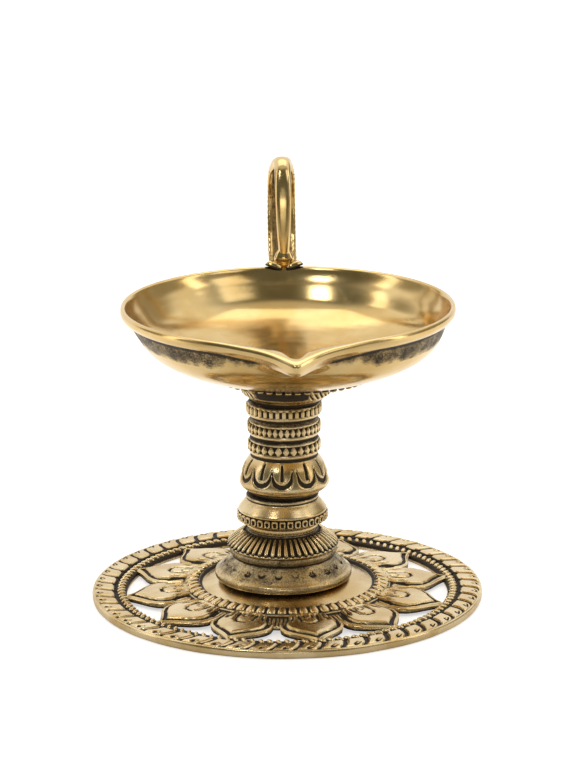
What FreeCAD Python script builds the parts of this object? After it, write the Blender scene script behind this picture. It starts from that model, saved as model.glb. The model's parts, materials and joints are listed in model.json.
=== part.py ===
"""Brass oil lamp: an open bowl with a pouring lip and a finger loop, on a turned stem and a lotus plate.

The stack is held by one long bolt, put in from beneath, that screws into a boss under the bowl. Turned
clockwise the bolt pulls the bowl down on its seat; turned back it stays in its place and the bowl rises.

Frame: millimetres, +Z up, origin at the centre of the plate's underside, the pouring lip towards -Y.
"""

import FreeCAD
import Part

import math
import os

import Sketcher

# Driving dimensions, in millimetres and degrees. Radii are measured from each casting's own axis.
SIZES = {
    # lotus plate
    "plate_radius": 63.5,
    "plate_rim_thickness": 3.2,
    "plate_rim_inner_radius": 52.3,
    "petal_turn": 10.0,
    "petal_pitch": 30.0,
    "petal_underside": 0.9,
    "petal_thickness": 2.8,
    "petal_root_radius": 30.0,
    "petal_root_half_width": 8.0,
    "petal_shoulder_radius": 37.0,
    "petal_shoulder_half_width": 9.7,
    "petal_waist_radius": 47.5,
    "petal_waist_half_width": 5.8,
    "petal_tip_radius": 53.2,
    "petal_tip_half_width": 0.9,
    "petal_belly_curve": 8.6,
    "petal_tip_curve": 9.5,
    "web_radius": 39.5,
    "web_top": 3.0,
    "dish_radius": 28.2,
    "dish_floor": 4.0,
    "dish_ring_top": 5.6,
    "dish_ring_radius": 33.2,
    "foot_seat_radius": 19.5,
    "foot_seat_height": 6.3,
    "dome_radius": 13.0,
    "dome_top": 9.2,
    "casting_wall": 2.4,
    # stem castings, bottom to top
    "bolt_hole_radius": 5.4,
    "foot_radius": 22.2,
    "foot_edge_bottom": 6.9,
    "foot_edge_top": 9.3,
    "foot_hollow_radius": 15.0,
    "foot_hollow_top": 10.4,
    "foot_waist_radius": 16.2,
    "foot_waist_height": 14.2,
    "foot_lip_radius": 17.5,
    "foot_top": 17.0,
    "skirt_radius": 18.2,
    "skirt_neck_radius": 11.3,
    "skirt_neck_height": 22.8,
    "bead_skirt_radius": 14.6,
    "bead_skirt_bottom": 25.6,
    "bead_skirt_shoulder": 29.6,
    "skirt_top": 35.0,
    "bell_radius": 14.6,
    "bell_height": 38.5,
    "bell_top_radius": 11.1,
    "bell_top": 47.2,
    "ring_three_radius": 11.7,
    "ring_three_bottom": 48.6,
    "ring_three_top": 53.8,
    "ring_two_radius": 11.9,
    "ring_two_bottom": 55.2,
    "ring_two_top": 59.9,
    "ring_one_radius": 12.4,
    "ring_one_bottom": 61.2,
    "ring_one_top": 65.2,
    "column_top": 66.0,
    "spigot_height": 2.4,
    "lower_spigot_radius": 8.0,
    "upper_spigot_radius": 7.0,
    "socket_slack": 0.7,
    "seat_flare_radius": 14.6,
    "seat_flare_height": 69.0,
    "seat_top_radius": 15.6,
    "seat_top": 72.0,
    # how far each casting stands off the plate's axis, to the right
    "foot_offset": -1.2,
    "skirt_offset": -1.4,
    "column_offset": -0.7,
    "seat_offset": 0.2,
    "bowl_offset": 0.8,
    # bowl
    "bowl_turn": 2.2,
    "boss_radius": 7.2,
    "boss_bottom": 60.2,
    "boss_clearance": 1.8,
    "pad_radius": 11.0,
    "bowl_bottom_radius": 11.5,
    "bowl_bottom": 72.85,
    "bowl_belly_radius": 36.0,
    "bowl_belly_height": 77.9,
    "bowl_body_radius": 49.7,
    "bowl_body_top": 89.2,
    "bowl_under_curve": 86.9,
    "bowl_side_curve": 21.6,
    "flange_radius": 51.6,
    "flange_bottom": 91.0,
    "rim_radius": 53.6,
    "rim_swell_height": 95.8,
    "rim_top": 97.6,
    "rim_wall": 1.5,
    "bowl_wall": 2.1,
    "beak_reach": 62.4,
    "beak_half_width": 25.0,
    "beak_root_radius": 46.5,
    "beak_waist_reach": 56.5,
    "beak_waist_half_width": 7.5,
    "beak_tip_half_width": 0.8,
    "beak_tip_top": 93.9,
    "beak_tip_bottom": 89.9,
    "beak_floor": 91.6,
    # finger loop
    "loop_x": -0.3,
    "loop_twist": 2.4,
    "strap_width": 5.2,
    "backplate_width": 9.6,
    "lobe_width": 12.4,
    "lobe_height": 1.5,
    "loop_front": 50.7,
    "loop_top": 133.2,
    # bolt and washer
    "bolt_radius": 2.95,
    "bolt_head_radius": 5.6,
    "bolt_head_bottom": 2.2,
    "bolt_head_top": 5.6,
    "bolt_slot_width": 1.4,
    "bolt_slot_depth": 1.5,
    "thread_engagement": 9.0,
    "thread_clearance": 0.05,
    "washer_radius": 9.0,
    "washer_hole_radius": 3.25,
}

doc = FreeCAD.newDocument("oil_lamp")
sheet = doc.addObject("Spreadsheet::Sheet", "Sizes")
for row, (alias, number) in enumerate(SIZES.items(), start=1):
    sheet.set(f"A{row}", alias)
    sheet.set(f"B{row}", str(number))
    sheet.setAlias(f"B{row}", alias)
doc.recompute()


class Size:
    """A length or angle that carries both its number and the sheet expression that gives it."""

    def __init__(self, text, number):
        self.text = text
        self.number = number

    def combined(self, sign, other, number):
        return Size(f"({self.text} {sign} {getattr(other, 'text', other)})", number)

    def __add__(self, other):
        return self.combined("+", other, self.number + getattr(other, "number", other))

    def __sub__(self, other):
        return self.combined("-", other, self.number - getattr(other, "number", other))

    def __mul__(self, other):
        return self.combined("*", other, self.number * getattr(other, "number", other))

    def __neg__(self):
        return Size(f"(-1 * {self.text})", -self.number)


def size(alias):
    """The sheet's cell of that name, as a Size."""
    return Size(f"Sizes.{alias}", float(sheet.get(alias)))


def fixed(number):
    """A small plain size that no other size drives."""
    return Size(str(number), float(number))


def bind(thing, path, value):
    """Ties a property or a constraint to the sheet."""
    thing.setExpression(path, value.text)


def new_body(label):
    """An empty body whose label names its file."""
    body = doc.addObject("PartDesign::Body", label)
    body.Label = label
    return body


def new_sketch(body, name, plane_role, offset=None):
    """A sketch on one of the body's own origin planes, raised along its normal by the offset."""
    plane = next(item for item in body.Origin.OriginFeatures if item.Role == plane_role)
    sketch = body.newObject("Sketcher::SketchObject", f"{body.Name}_{name}")
    sketch.AttachmentSupport = (plane, [""])
    sketch.MapMode = "FlatFace"
    if offset is not None:
        bind(sketch, "AttachmentOffset.Base.z", offset)
    return sketch


def arc_through(start, end, radius):
    """The minor arc from start to end. A positive radius bulges to the right of the way from start to end."""
    chord = end - start
    half = chord.Length / 2
    across = FreeCAD.Vector(chord.y, -chord.x, 0).normalize()
    sagitta = abs(radius) - math.sqrt(radius * radius - half * half)
    middle = (start + end) * 0.5 + across * math.copysign(sagitta, radius)
    return Part.Arc(start, middle, end)


def draw_outline(sketch, corners):
    """A closed outline. Each corner is (across, up) or (across, up, radius of the arc to the next corner)."""
    points = [FreeCAD.Vector(corner[0].number, corner[1].number, 0) for corner in corners]
    first = sketch.GeometryCount
    count = len(corners)
    for index, corner in enumerate(corners):
        start, end = points[index], points[(index + 1) % count]
        if len(corner) == 3:
            sketch.addGeometry(arc_through(start, end, corner[2].number))
        else:
            sketch.addGeometry(Part.LineSegment(start, end))
    ends = [end_codes(sketch, first + index, points[index]) for index in range(count)]
    for index, corner in enumerate(corners):
        following = (index + 1) % count
        edge = first + index
        end, start = ends[index][1], ends[following][0]
        sketch.addConstraint(Sketcher.Constraint("Coincident", edge, end, first + following, start))
        for kind, value in (("DistanceX", corner[0]), ("DistanceY", corner[1])):
            distance = Sketcher.Constraint(kind, -1, 1, edge, ends[index][0], value.number)
            bind(sketch, f"Constraints[{sketch.addConstraint(distance)}]", value)
        if len(corner) == 3:
            curve = corner[2] if corner[2].number > 0 else -corner[2]
            curved = sketch.addConstraint(Sketcher.Constraint("Radius", edge, curve.number))
            bind(sketch, f"Constraints[{curved}]", curve)


def end_codes(sketch, edge, start):
    """The sketcher's numbers for an edge's start and end, in the outline's own direction."""
    if sketch.getPoint(edge, 1).distanceToPoint(start) < 1e-6:
        return 1, 2
    return 2, 1


def revolve(body, name, corners, kind="PartDesign::Revolution"):
    """A full turn of an outline about the body's vertical axis."""
    sketch = new_sketch(body, f"{name}_outline", "XZ_Plane")
    draw_outline(sketch, corners)
    feature = body.newObject(kind, f"{body.Name}_{name}")
    feature.Profile = sketch
    feature.ReferenceAxis = (sketch, ["V_Axis"])
    feature.Angle = 360
    body.Tip = feature
    return feature


def extrude(body, name, plane_role, corners, length, kind="PartDesign::Pad",
            offset=None, middle=False, back=False):
    """A pad or a pocket of an outline on one of the origin planes."""
    sketch = new_sketch(body, f"{name}_outline", plane_role, offset)
    draw_outline(sketch, corners)
    feature = body.newObject(kind, f"{body.Name}_{name}")
    feature.Profile = sketch
    bind(feature, "Length", length)
    feature.SideType = "Symmetric" if middle else "One side"
    feature.Reversed = back
    body.Tip = feature
    return feature


def stand_off(body, offset):
    """Puts a casting beside the plate's axis."""
    bind(body, "Placement.Base.x", offset)


def turn(body, angle):
    """Turns a casting about its own upright axis."""
    upright = FreeCAD.Vector(0, 0, 1)
    body.Placement = FreeCAD.Placement(FreeCAD.Vector(), FreeCAD.Rotation(upright, angle.number))


def make_lotus_plate():
    """Openwork casting: rim, lotus petals, and a dish whose dome carries the foot and hides the bolt's head."""
    body = new_body("lotus_plate")
    wall = size("casting_wall")
    hole = size("bolt_hole_radius")
    underside = size("petal_underside")
    seat_radius, seat_height = size("foot_seat_radius"), size("foot_seat_height")
    dome_radius, dome_top = size("dome_radius"), size("dome_top")
    dish_radius, dish_floor = size("dish_radius"), size("dish_floor")
    ring_radius, ring_top = size("dish_ring_radius"), size("dish_ring_top")
    web_radius, web_top = size("web_radius"), size("web_top")
    revolve(body, "dish", [
        (hole, dome_top),
        (hole, dome_top - wall),
        (dome_radius - wall, dome_top - wall),
        (dome_radius - 1.6, seat_height - wall),
        (seat_radius, seat_height - wall),
        (dish_radius, underside + 0.6),
        (ring_radius, underside),
        (web_radius, underside),
        (web_radius, web_top),
        (ring_radius + 0.4, web_top),
        (ring_radius, ring_top - 1.3),
        (dish_radius + 1.4, ring_top),
        (dish_radius + 0.2, ring_top - 0.2),
        (dish_radius, dish_floor),
        (dish_radius - 3.0, dish_floor + 0.7),
        (seat_radius + 2.4, seat_height - 0.7),
        (seat_radius, seat_height),
        (dome_radius, seat_height),
        (dome_radius - 0.6, dome_top),
    ])

    root, root_half = size("petal_root_radius"), size("petal_root_half_width")
    shoulder, shoulder_half = size("petal_shoulder_radius"), size("petal_shoulder_half_width")
    waist, waist_half = size("petal_waist_radius"), size("petal_waist_half_width")
    tip, tip_half = size("petal_tip_radius"), size("petal_tip_half_width")
    belly_curve, tip_curve = size("petal_belly_curve"), size("petal_tip_curve")
    petal = extrude(body, "petal", "XY_Plane", [
        (root, -root_half),
        (shoulder, -shoulder_half, belly_curve),
        (waist, -waist_half, -tip_curve),
        (tip, -tip_half),
        (tip, tip_half, -tip_curve),
        (waist, waist_half, belly_curve),
        (shoulder, shoulder_half),
        (root, root_half),
    ], size("petal_thickness"), offset=underside)
    petals = body.newObject("PartDesign::PolarPattern", "lotus_plate_petals")
    petals.Originals = [petal]
    petals.Axis = (petal.Profile[0], ["N_Axis"])
    petals.Angle = 360
    petals.Occurrences = round(360 / size("petal_pitch").number)
    body.Tip = petals

    rim_inner, rim_outer = size("plate_rim_inner_radius"), size("plate_radius")
    rim_top = size("plate_rim_thickness")
    revolve(body, "rim", [
        (rim_inner, fixed(0)),
        (rim_outer - 0.4, fixed(0)),
        (rim_outer, fixed(0.4)),
        (rim_outer, rim_top - 0.6),
        (rim_outer - 0.6, rim_top),
        (rim_inner + 0.6, rim_top),
        (rim_inner, rim_top - 0.6),
    ])
    turn(body, size("petal_turn"))
    return body


def make_stem_foot():
    """Turned foot: a plain disc with a rising cone and a lip, hollow beneath to clear the plate's dome."""
    body = new_body("stem_foot")
    hole = size("bolt_hole_radius")
    seat_radius, seat_height = size("foot_seat_radius"), size("foot_seat_height")
    edge, edge_bottom, edge_top = size("foot_radius"), size("foot_edge_bottom"), size("foot_edge_top")
    hollow, hollow_top = size("foot_hollow_radius"), size("foot_hollow_top")
    waist, waist_height = size("foot_waist_radius"), size("foot_waist_height")
    lip, top = size("foot_lip_radius"), size("foot_top")
    socket = size("lower_spigot_radius") + size("socket_slack")
    socket_floor = top - size("spigot_height") - 0.2
    revolve(body, "turning", [
        (hole, socket_floor),
        (hole, hollow_top),
        (hollow - 0.6, hollow_top),
        (hollow, seat_height),
        (seat_radius, seat_height),
        (seat_radius + 1.0, edge_bottom),
        (edge - 0.3, edge_bottom),
        (edge, edge_bottom + 0.3),
        (edge, edge_top - 0.4),
        (edge - 0.5, edge_top),
        (waist, waist_height),
        (lip - 0.4, waist_height + 0.4),
        (lip, waist_height + 1.2),
        (lip - 0.2, top),
        (socket, top),
        (socket, socket_floor),
    ])
    stand_off(body, size("foot_offset"))
    return body


def make_skirt_stem():
    """Lower stem: the ribbed skirt, the beaded skirt above it, and a spigot at each end."""
    body = new_body("skirt_stem")
    hole = size("bolt_hole_radius")
    spigot = size("spigot_height")
    lower, upper = size("lower_spigot_radius"), size("upper_spigot_radius")
    base, top = size("foot_top"), size("skirt_top")
    skirt, neck, neck_height = size("skirt_radius"), size("skirt_neck_radius"), size("skirt_neck_height")
    bead = size("bead_skirt_radius")
    bead_bottom, bead_shoulder = size("bead_skirt_bottom"), size("bead_skirt_shoulder")
    revolve(body, "turning", [
        (hole, top + spigot),
        (hole, base - spigot),
        (lower, base - spigot),
        (lower, base),
        (skirt - 0.6, base),
        (skirt, base + 0.5),
        (skirt - 0.5, base + 1.6),
        (neck, neck_height),
        (neck, bead_bottom - 0.6),
        (bead - 1.6, bead_bottom),
        (bead, bead_bottom + 1.0),
        (bead, bead_shoulder),
        (neck + 0.2, top - 2.0),
        (neck + 0.5, top - 1.0),
        (neck, top),
        (upper, top),
        (upper, top + spigot),
    ])
    stand_off(body, size("skirt_offset"))
    return body


def make_lotus_column():
    """Upper stem: the lotus bell and three ornament rings, bored to guide the bowl's boss."""
    body = new_body("lotus_column")
    hole = size("bolt_hole_radius")
    base, top = size("skirt_top"), size("column_top")
    socket = size("upper_spigot_radius") + size("socket_slack")
    guide = size("boss_radius") + size("boss_clearance")
    guide_floor = size("boss_bottom") - 1.2
    bell, bell_height = size("bell_radius"), size("bell_height")
    bell_neck, bell_top = size("bell_top_radius"), size("bell_top")
    profile = [
        (socket, base),
        (size("skirt_neck_radius"), base),
        (bell - 1.9, base + 1.5, fixed(6.0)),
        (bell, bell_height, fixed(15.0)),
        (bell_neck + 1.7, bell_top - 2.7),
        (bell_neck, bell_top),
    ]
    for ring, groove in (("three", 1.0), ("two", 1.2), ("one", 1.7)):
        ring_radius = size(f"ring_{ring}_radius")
        ring_bottom, ring_top = size(f"ring_{ring}_bottom"), size(f"ring_{ring}_top")
        profile += [
            (ring_radius - groove, ring_bottom - 0.7),
            (ring_radius - 0.3, ring_bottom),
            (ring_radius, (ring_bottom + ring_top) * 0.5),
            (ring_radius - 0.3, ring_top),
            (ring_radius - groove, ring_top + 0.5),
        ]
    profile += [
        (size("ring_one_radius") - 0.8, top),
        (guide, top),
        (guide, guide_floor),
        (hole, guide_floor),
        (hole, base + size("spigot_height") + 0.3),
        (socket, base + size("spigot_height") + 0.3),
    ]
    revolve(body, "turning", profile)
    stand_off(body, size("column_offset"))
    return body


def make_bowl_seat():
    """Flared collar on top of the column, with a flat top on which the bowl's foot pad sits."""
    body = new_body("bowl_seat")
    bottom, top = size("column_top"), size("seat_top")
    guide = size("boss_radius") + size("boss_clearance") - 0.6
    flare, flare_height = size("seat_flare_radius"), size("seat_flare_height")
    top_radius = size("seat_top_radius")
    revolve(body, "turning", [
        (guide, bottom),
        (size("ring_one_radius") - 1.0, bottom),
        (flare, flare_height),
        (top_radius, top - 0.6),
        (top_radius - 0.4, top),
        (guide, top),
    ])
    stand_off(body, size("seat_offset"))
    return body


def make_oil_bowl():
    """Open bowl with a flanged rim, a pouring beak, and a boss beneath that is threaded for the bolt."""
    body = new_body("oil_bowl")
    boss, boss_bottom = size("boss_radius"), size("boss_bottom")
    pad, pad_bottom = size("pad_radius"), size("seat_top")
    low_radius, low = size("bowl_bottom_radius"), size("bowl_bottom")
    belly, belly_height = size("bowl_belly_radius"), size("bowl_belly_height")
    body_radius, body_top = size("bowl_body_radius"), size("bowl_body_top")
    under_curve, side_curve = size("bowl_under_curve"), size("bowl_side_curve")
    flange, flange_bottom = size("flange_radius"), size("flange_bottom")
    rim, swell, rim_top = size("rim_radius"), size("rim_swell_height"), size("rim_top")
    wall, rim_wall = size("bowl_wall"), size("rim_wall")
    revolve(body, "outside", [
        (fixed(0), rim_top),
        (fixed(0), boss_bottom),
        (boss, boss_bottom),
        (boss, pad_bottom),
        (pad, pad_bottom),
        (low_radius, low, under_curve),
        (belly, belly_height, side_curve),
        (body_radius, body_top),
        (flange, flange_bottom),
        (rim, swell),
        (rim - 0.4, rim_top),
    ])

    reach, root, half = size("beak_reach"), size("beak_root_radius"), size("beak_half_width")
    waist, waist_half = size("beak_waist_reach"), size("beak_waist_half_width")
    tip_half, tip_top, tip_bottom = size("beak_tip_half_width"), size("beak_tip_top"), size("beak_tip_bottom")
    extrude(body, "beak", "XY_Plane", [
        (-half, -root),
        (-waist_half, -waist),
        (-tip_half, -reach),
        (tip_half, -reach),
        (waist_half, -waist),
        (half, -root),
    ], rim_top - tip_bottom, offset=tip_bottom)
    extrude(body, "beak_fall", "YZ_Plane", [
        (-root - 3.0, rim_top),
        (-reach, tip_top),
        (-reach - 3.0, tip_top - 0.9),
        (-reach - 3.0, rim_top + 1.0),
        (-root - 3.0, rim_top + 1.0),
    ], half * 2.4, kind="PartDesign::Pocket", middle=True)
    revolve(body, "inside", [
        (fixed(0), rim_top + 1.0),
        (fixed(0), low + wall),
        (low_radius, low + wall, under_curve - wall),
        (belly - 0.55, belly_height + 2.03, side_curve - wall),
        (body_radius - 1.9, body_top + 0.93),
        (flange - rim_wall, flange_bottom + 1.6),
        (rim - rim_wall, swell),
        (rim - rim_wall - 0.4, rim_top + 1.0),
    ], kind="PartDesign::Groove")
    extrude(body, "beak_trough", "XY_Plane", [
        (-half + 2.0, -root + 2.5),
        (-waist_half + 1.0, -waist + 1.6),
        (-tip_half + 0.5, -reach + 2.0),
        (tip_half - 0.5, -reach + 2.0),
        (waist_half - 1.0, -waist + 1.6),
        (half - 2.0, -root + 2.5),
    ], rim_top - size("beak_floor") + 1.0, kind="PartDesign::Pocket", offset=size("beak_floor"), back=True)
    thread = size("bolt_radius") + size("thread_clearance")
    revolve(body, "thread", [
        (fixed(0), boss_bottom - 1.0),
        (thread, boss_bottom - 1.0),
        (thread, boss_bottom + size("thread_engagement") + 1.0),
        (fixed(0), boss_bottom + size("thread_engagement") + 2.0),
    ], kind="PartDesign::Groove")
    turn(body, size("bowl_turn"))
    stand_off(body, size("bowl_offset"))
    return body


def make_finger_loop():
    """Handle casting: a smooth front strap that stands on the rim and comes down behind as a back plate."""
    body = new_body("finger_loop")
    front, top = size("loop_front"), size("loop_top")
    rim_top = size("rim_top")
    extrude(body, "strap", "YZ_Plane", [
        (front, rim_top),
        (front + 0.2, rim_top + 5.0),
        (front + 1.0, rim_top + 14.0),
        (front + 3.6, top - 7.5, -fixed(9.5)),
        (front + 11.5, top, -fixed(9.0)),
        (front + 19.6, top - 6.2, -fixed(26.0)),
        (front + 22.4, top - 16.0, -fixed(36.0)),
        (front + 19.4, top - 29.0, -fixed(44.0)),
        (front + 8.2, rim_top - 7.2),
        (front - 1.8, rim_top - 12.6),
        (front - 1.0, rim_top - 8.8),
        (front + 6.4, rim_top - 4.2, fixed(42.0)),
        (front + 16.8, top - 28.0, fixed(34.0)),
        (front + 19.6, top - 16.0, fixed(24.0)),
        (front + 17.2, top - 7.2, fixed(7.0)),
        (front + 11.4, top - 3.2, fixed(8.0)),
        (front + 6.6, top - 8.8),
        (front + 3.8, rim_top + 14.0),
        (front + 3.2, rim_top + 5.0),
        (front + 3.6, rim_top),
    ], size("strap_width"), middle=True)
    extrude(body, "backplate", "YZ_Plane", [
        (front + 16.6, top - 2.4),
        (front + 19.6, top - 6.2, -fixed(26.0)),
        (front + 22.4, top - 16.0, -fixed(36.0)),
        (front + 19.4, top - 29.0, -fixed(44.0)),
        (front + 8.2, rim_top - 7.2),
        (front + 7.2, rim_top - 5.4, fixed(43.0)),
        (front + 17.6, top - 28.4, fixed(35.0)),
        (front + 20.6, top - 16.0, fixed(25.0)),
        (front + 17.8, top - 7.0),
        (front + 15.4, top - 4.0),
    ], size("backplate_width"), middle=True)
    extrude(body, "lobes", "YZ_Plane", [
        (front, rim_top),
        (front + 3.6, rim_top),
        (front + 3.4, rim_top + size("lobe_height")),
        (front + 0.2, rim_top + size("lobe_height")),
    ], size("lobe_width"), middle=True)
    upright = FreeCAD.Vector(0, 0, 1)
    twist = FreeCAD.Rotation(upright, size("loop_twist").number)
    aside = FreeCAD.Vector(size("loop_x").number, 0, 0)
    body.Placement = FreeCAD.Placement(aside, twist, FreeCAD.Vector(0, front.number, 0))
    return body


def make_tie_bolt():
    """Slotted cheese-head bolt, put in from beneath the plate, in line with the bowl's boss."""
    body = new_body("tie_bolt")
    shank, head = size("bolt_radius"), size("bolt_head_radius")
    head_bottom, head_top = size("bolt_head_bottom"), size("bolt_head_top")
    tip = size("boss_bottom") + size("thread_engagement")
    revolve(body, "turning", [
        (fixed(0), tip),
        (fixed(0), head_bottom),
        (head - 0.4, head_bottom),
        (head, head_bottom + 0.4),
        (head, head_top),
        (shank, head_top),
        (shank, tip - 0.8),
        (shank - 0.8, tip),
    ])
    slot_half = size("bolt_slot_width") * 0.5
    extrude(body, "slot", "XY_Plane", [
        (-head - 1.0, -slot_half),
        (head + 1.0, -slot_half),
        (head + 1.0, slot_half),
        (-head - 1.0, slot_half),
    ], size("bolt_slot_depth"), kind="PartDesign::Pocket", offset=head_bottom, back=True)
    stand_off(body, size("bowl_offset"))
    return body


def make_bolt_washer():
    """Plain washer between the bolt's head and the crown of the plate's dome."""
    washer = doc.addObject("Part::Cut", "bolt_washer")
    washer.Label = "bolt_washer"
    head_top = size("bolt_head_top")
    thickness = size("dome_top") - size("casting_wall") - head_top
    discs = []
    for name, radius in (("blank", size("washer_radius")), ("hole", size("washer_hole_radius"))):
        disc = doc.addObject("Part::Cylinder", f"bolt_washer_{name}")
        bind(disc, "Radius", radius)
        bind(disc, "Height", thickness)
        bind(disc, "Placement.Base.z", head_top)
        bind(disc, "Placement.Base.x", size("bowl_offset"))
        discs.append(disc)
    washer.Base, washer.Tool = discs
    return washer


def write_steps(pieces):
    """Recomputes, stops on anything invalid, and writes one file for each piece."""
    doc.recompute()
    for item in doc.Objects:
        if {"Invalid", "Error"} & set(item.State):
            raise RuntimeError(f"{item.Name} failed: {item.State}")
    for piece in pieces:
        if piece.Shape.isNull() or not piece.Shape.isValid() or len(piece.Shape.Solids) != 1:
            raise RuntimeError(f"{piece.Label} is not one valid solid")
    os.makedirs("parts", exist_ok=True)
    for piece in pieces:
        piece.Shape.exportStep(f"parts/{piece.Label}.step")
        box = piece.Shape.BoundBox
        print(f"{piece.Label}: {piece.Shape.Volume:.0f} mm3, x {box.XMin:.1f} to {box.XMax:.1f}, "
              f"y {box.YMin:.1f} to {box.YMax:.1f}, z {box.ZMin:.1f} to {box.ZMax:.1f}")


write_steps([
    make_lotus_plate(),
    make_stem_foot(),
    make_skirt_stem(),
    make_lotus_column(),
    make_bowl_seat(),
    make_oil_bowl(),
    make_finger_loop(),
    make_tie_bolt(),
    make_bolt_washer(),
])
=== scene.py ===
"""The looks of a brass oil lamp: bowl, finger loop, turned stem and openwork plate, on a pale floor."""

import json
import logging
import math
from collections.abc import Callable
from dataclasses import dataclass
from enum import Enum

import bpy
import numpy as np
from mathutils import Matrix, Vector

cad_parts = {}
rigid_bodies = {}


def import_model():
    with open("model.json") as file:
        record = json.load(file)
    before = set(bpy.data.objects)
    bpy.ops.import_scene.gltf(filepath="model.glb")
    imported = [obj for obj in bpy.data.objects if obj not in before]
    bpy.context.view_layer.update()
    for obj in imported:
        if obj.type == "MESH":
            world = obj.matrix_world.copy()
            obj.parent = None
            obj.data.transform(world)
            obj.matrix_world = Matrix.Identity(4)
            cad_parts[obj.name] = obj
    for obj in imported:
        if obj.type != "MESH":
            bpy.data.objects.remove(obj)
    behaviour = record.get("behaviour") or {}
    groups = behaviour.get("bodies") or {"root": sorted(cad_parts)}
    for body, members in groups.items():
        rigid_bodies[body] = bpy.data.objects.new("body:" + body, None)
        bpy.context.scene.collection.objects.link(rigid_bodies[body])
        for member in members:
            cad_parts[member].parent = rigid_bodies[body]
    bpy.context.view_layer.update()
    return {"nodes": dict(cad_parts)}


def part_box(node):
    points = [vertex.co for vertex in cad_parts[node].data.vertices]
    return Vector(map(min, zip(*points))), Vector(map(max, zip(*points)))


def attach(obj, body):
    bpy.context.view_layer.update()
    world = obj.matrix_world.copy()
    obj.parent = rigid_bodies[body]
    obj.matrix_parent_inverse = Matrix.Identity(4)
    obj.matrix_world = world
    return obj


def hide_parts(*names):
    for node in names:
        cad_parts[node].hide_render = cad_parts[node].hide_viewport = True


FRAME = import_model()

# The lamp is drawn in millimetres and becomes metres in Shell.to_object. The studio is in metres.
LOG = logging.getLogger("oil_lamp")
MM = 0.001
FULL_TURN = 2 * math.pi
BOLT_HOLE = 5.4
FOOT_SEAT = 19.5
STEM_JOINT = 35.0
Pair = tuple[np.ndarray, np.ndarray]
Relief = Callable[[np.ndarray, np.ndarray, np.ndarray], Pair]
Socket = bpy.types.NodeSocket


# --- shapes ---------------------------------------------------------------------------------------


def ramp(low: float, high: float, value: np.ndarray) -> np.ndarray:
    """A smooth step from 0 at low to 1 at high."""
    share = np.clip((value - low) / (high - low), 0.0, 1.0)
    return share * share * (3.0 - 2.0 * share)


def line_mark(distance: np.ndarray, half_width: np.ndarray | float) -> np.ndarray:
    """A stroke's strength, 1 on its middle line and 0 outside its width."""
    return 1.0 - ramp(0.45, 1.15, np.abs(distance) / half_width)


def hashed(*numbers: np.ndarray | float) -> np.ndarray:
    """A steady pseudo-random value from 0 to 1 for each set of whole numbers."""
    total = sum(number * weight for number, weight in zip(numbers, (12.9898, 78.233, 37.719)))
    return np.abs(np.sin(total) * 43758.5453) % 1.0


def soften(corners: list[tuple[float, float]], step: float, blur: float) -> np.ndarray:
    """Walks a closed outline at even steps and rounds its corners.

    Args:
        corners: The outline's corners, radius and height in millimetres.
        step: Distance between the points that come back.
        blur: How far a corner's rounding reaches.

    Returns:
        The points, one row each.
    """
    points = np.array(corners + corners[:1], float)
    lengths = np.hypot(*np.diff(points, axis=0).T)
    along = np.concatenate([[0.0], np.cumsum(lengths)])
    count = max(8, round(along[-1] / step))
    places = np.linspace(0.0, along[-1], count, endpoint=False)
    walked = np.stack([np.interp(places, along, points[:, axis]) for axis in (0, 1)], axis=1)
    reach = max(1, round(blur / step))
    kernel = np.hanning(2 * reach + 3)[1:-1]
    kernel /= kernel.sum()
    padded = np.concatenate([walked[-reach:], walked, walked[:reach]])
    return np.stack([np.convolve(padded[:, axis], kernel, mode="valid") for axis in (0, 1)], axis=1)


@dataclass
class Shell:
    """A closed mesh in the making: corners in millimetres, faces, and each corner's patina and painted shade."""

    corners: np.ndarray
    faces: list[tuple[int, ...]]
    patina_and_painted_shade: np.ndarray

    def moved(self, matrix: Matrix) -> "Shell":
        """The same shell after a change of place."""
        turned = np.array(matrix.to_3x3()) @ self.corners.T
        return Shell(turned.T + np.array(matrix.translation), self.faces, self.patina_and_painted_shade)

    def joined(self, other: "Shell") -> "Shell":
        """This shell and another as one.

        Args:
            other: The shell to add.

        Returns:
            The two as one shell.
        """
        start = len(self.corners)
        shifted = [tuple(index + start for index in face) for face in other.faces]
        corners = np.concatenate([self.corners, other.corners])
        return Shell(corners, self.faces + shifted, np.concatenate([self.patina_and_painted_shade, other.patina_and_painted_shade]))

    def outward(self) -> "Shell":
        """The same shell with its faces pointing outwards.

        Returns:
            The shell itself, or a turned copy where it was inside out.
        """
        triangles = np.array([
            (face[0], second, third) for face in self.faces for second, third in zip(face[1:-1], face[2:])
        ])
        first, second, third = (self.corners[triangles[:, column]] for column in range(3))
        volume = np.einsum("ij,ij->i", first, np.cross(second, third)).sum()
        return self if volume > 0 else Shell(self.corners, [face[::-1] for face in self.faces], self.patina_and_painted_shade)

    def to_object(self, name: str) -> bpy.types.Object:
        """Makes the Blender object, in metres, with the recess as a point attribute.

        Args:
            name: The object's name.

        Returns:
            The object, linked to the scene.
        """
        mesh = bpy.data.meshes.new(name)
        mesh.from_pydata((self.corners * MM).tolist(), [], self.faces)
        mesh.polygons.foreach_set("use_smooth", [True] * len(mesh.polygons))
        layer = mesh.attributes.new("patina_and_painted_shade", "FLOAT", "POINT")
        layer.data.foreach_set("value", self.patina_and_painted_shade.astype(np.float32))
        made = bpy.data.objects.new(name, mesh)
        bpy.context.scene.collection.objects.link(made)
        return made


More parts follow.
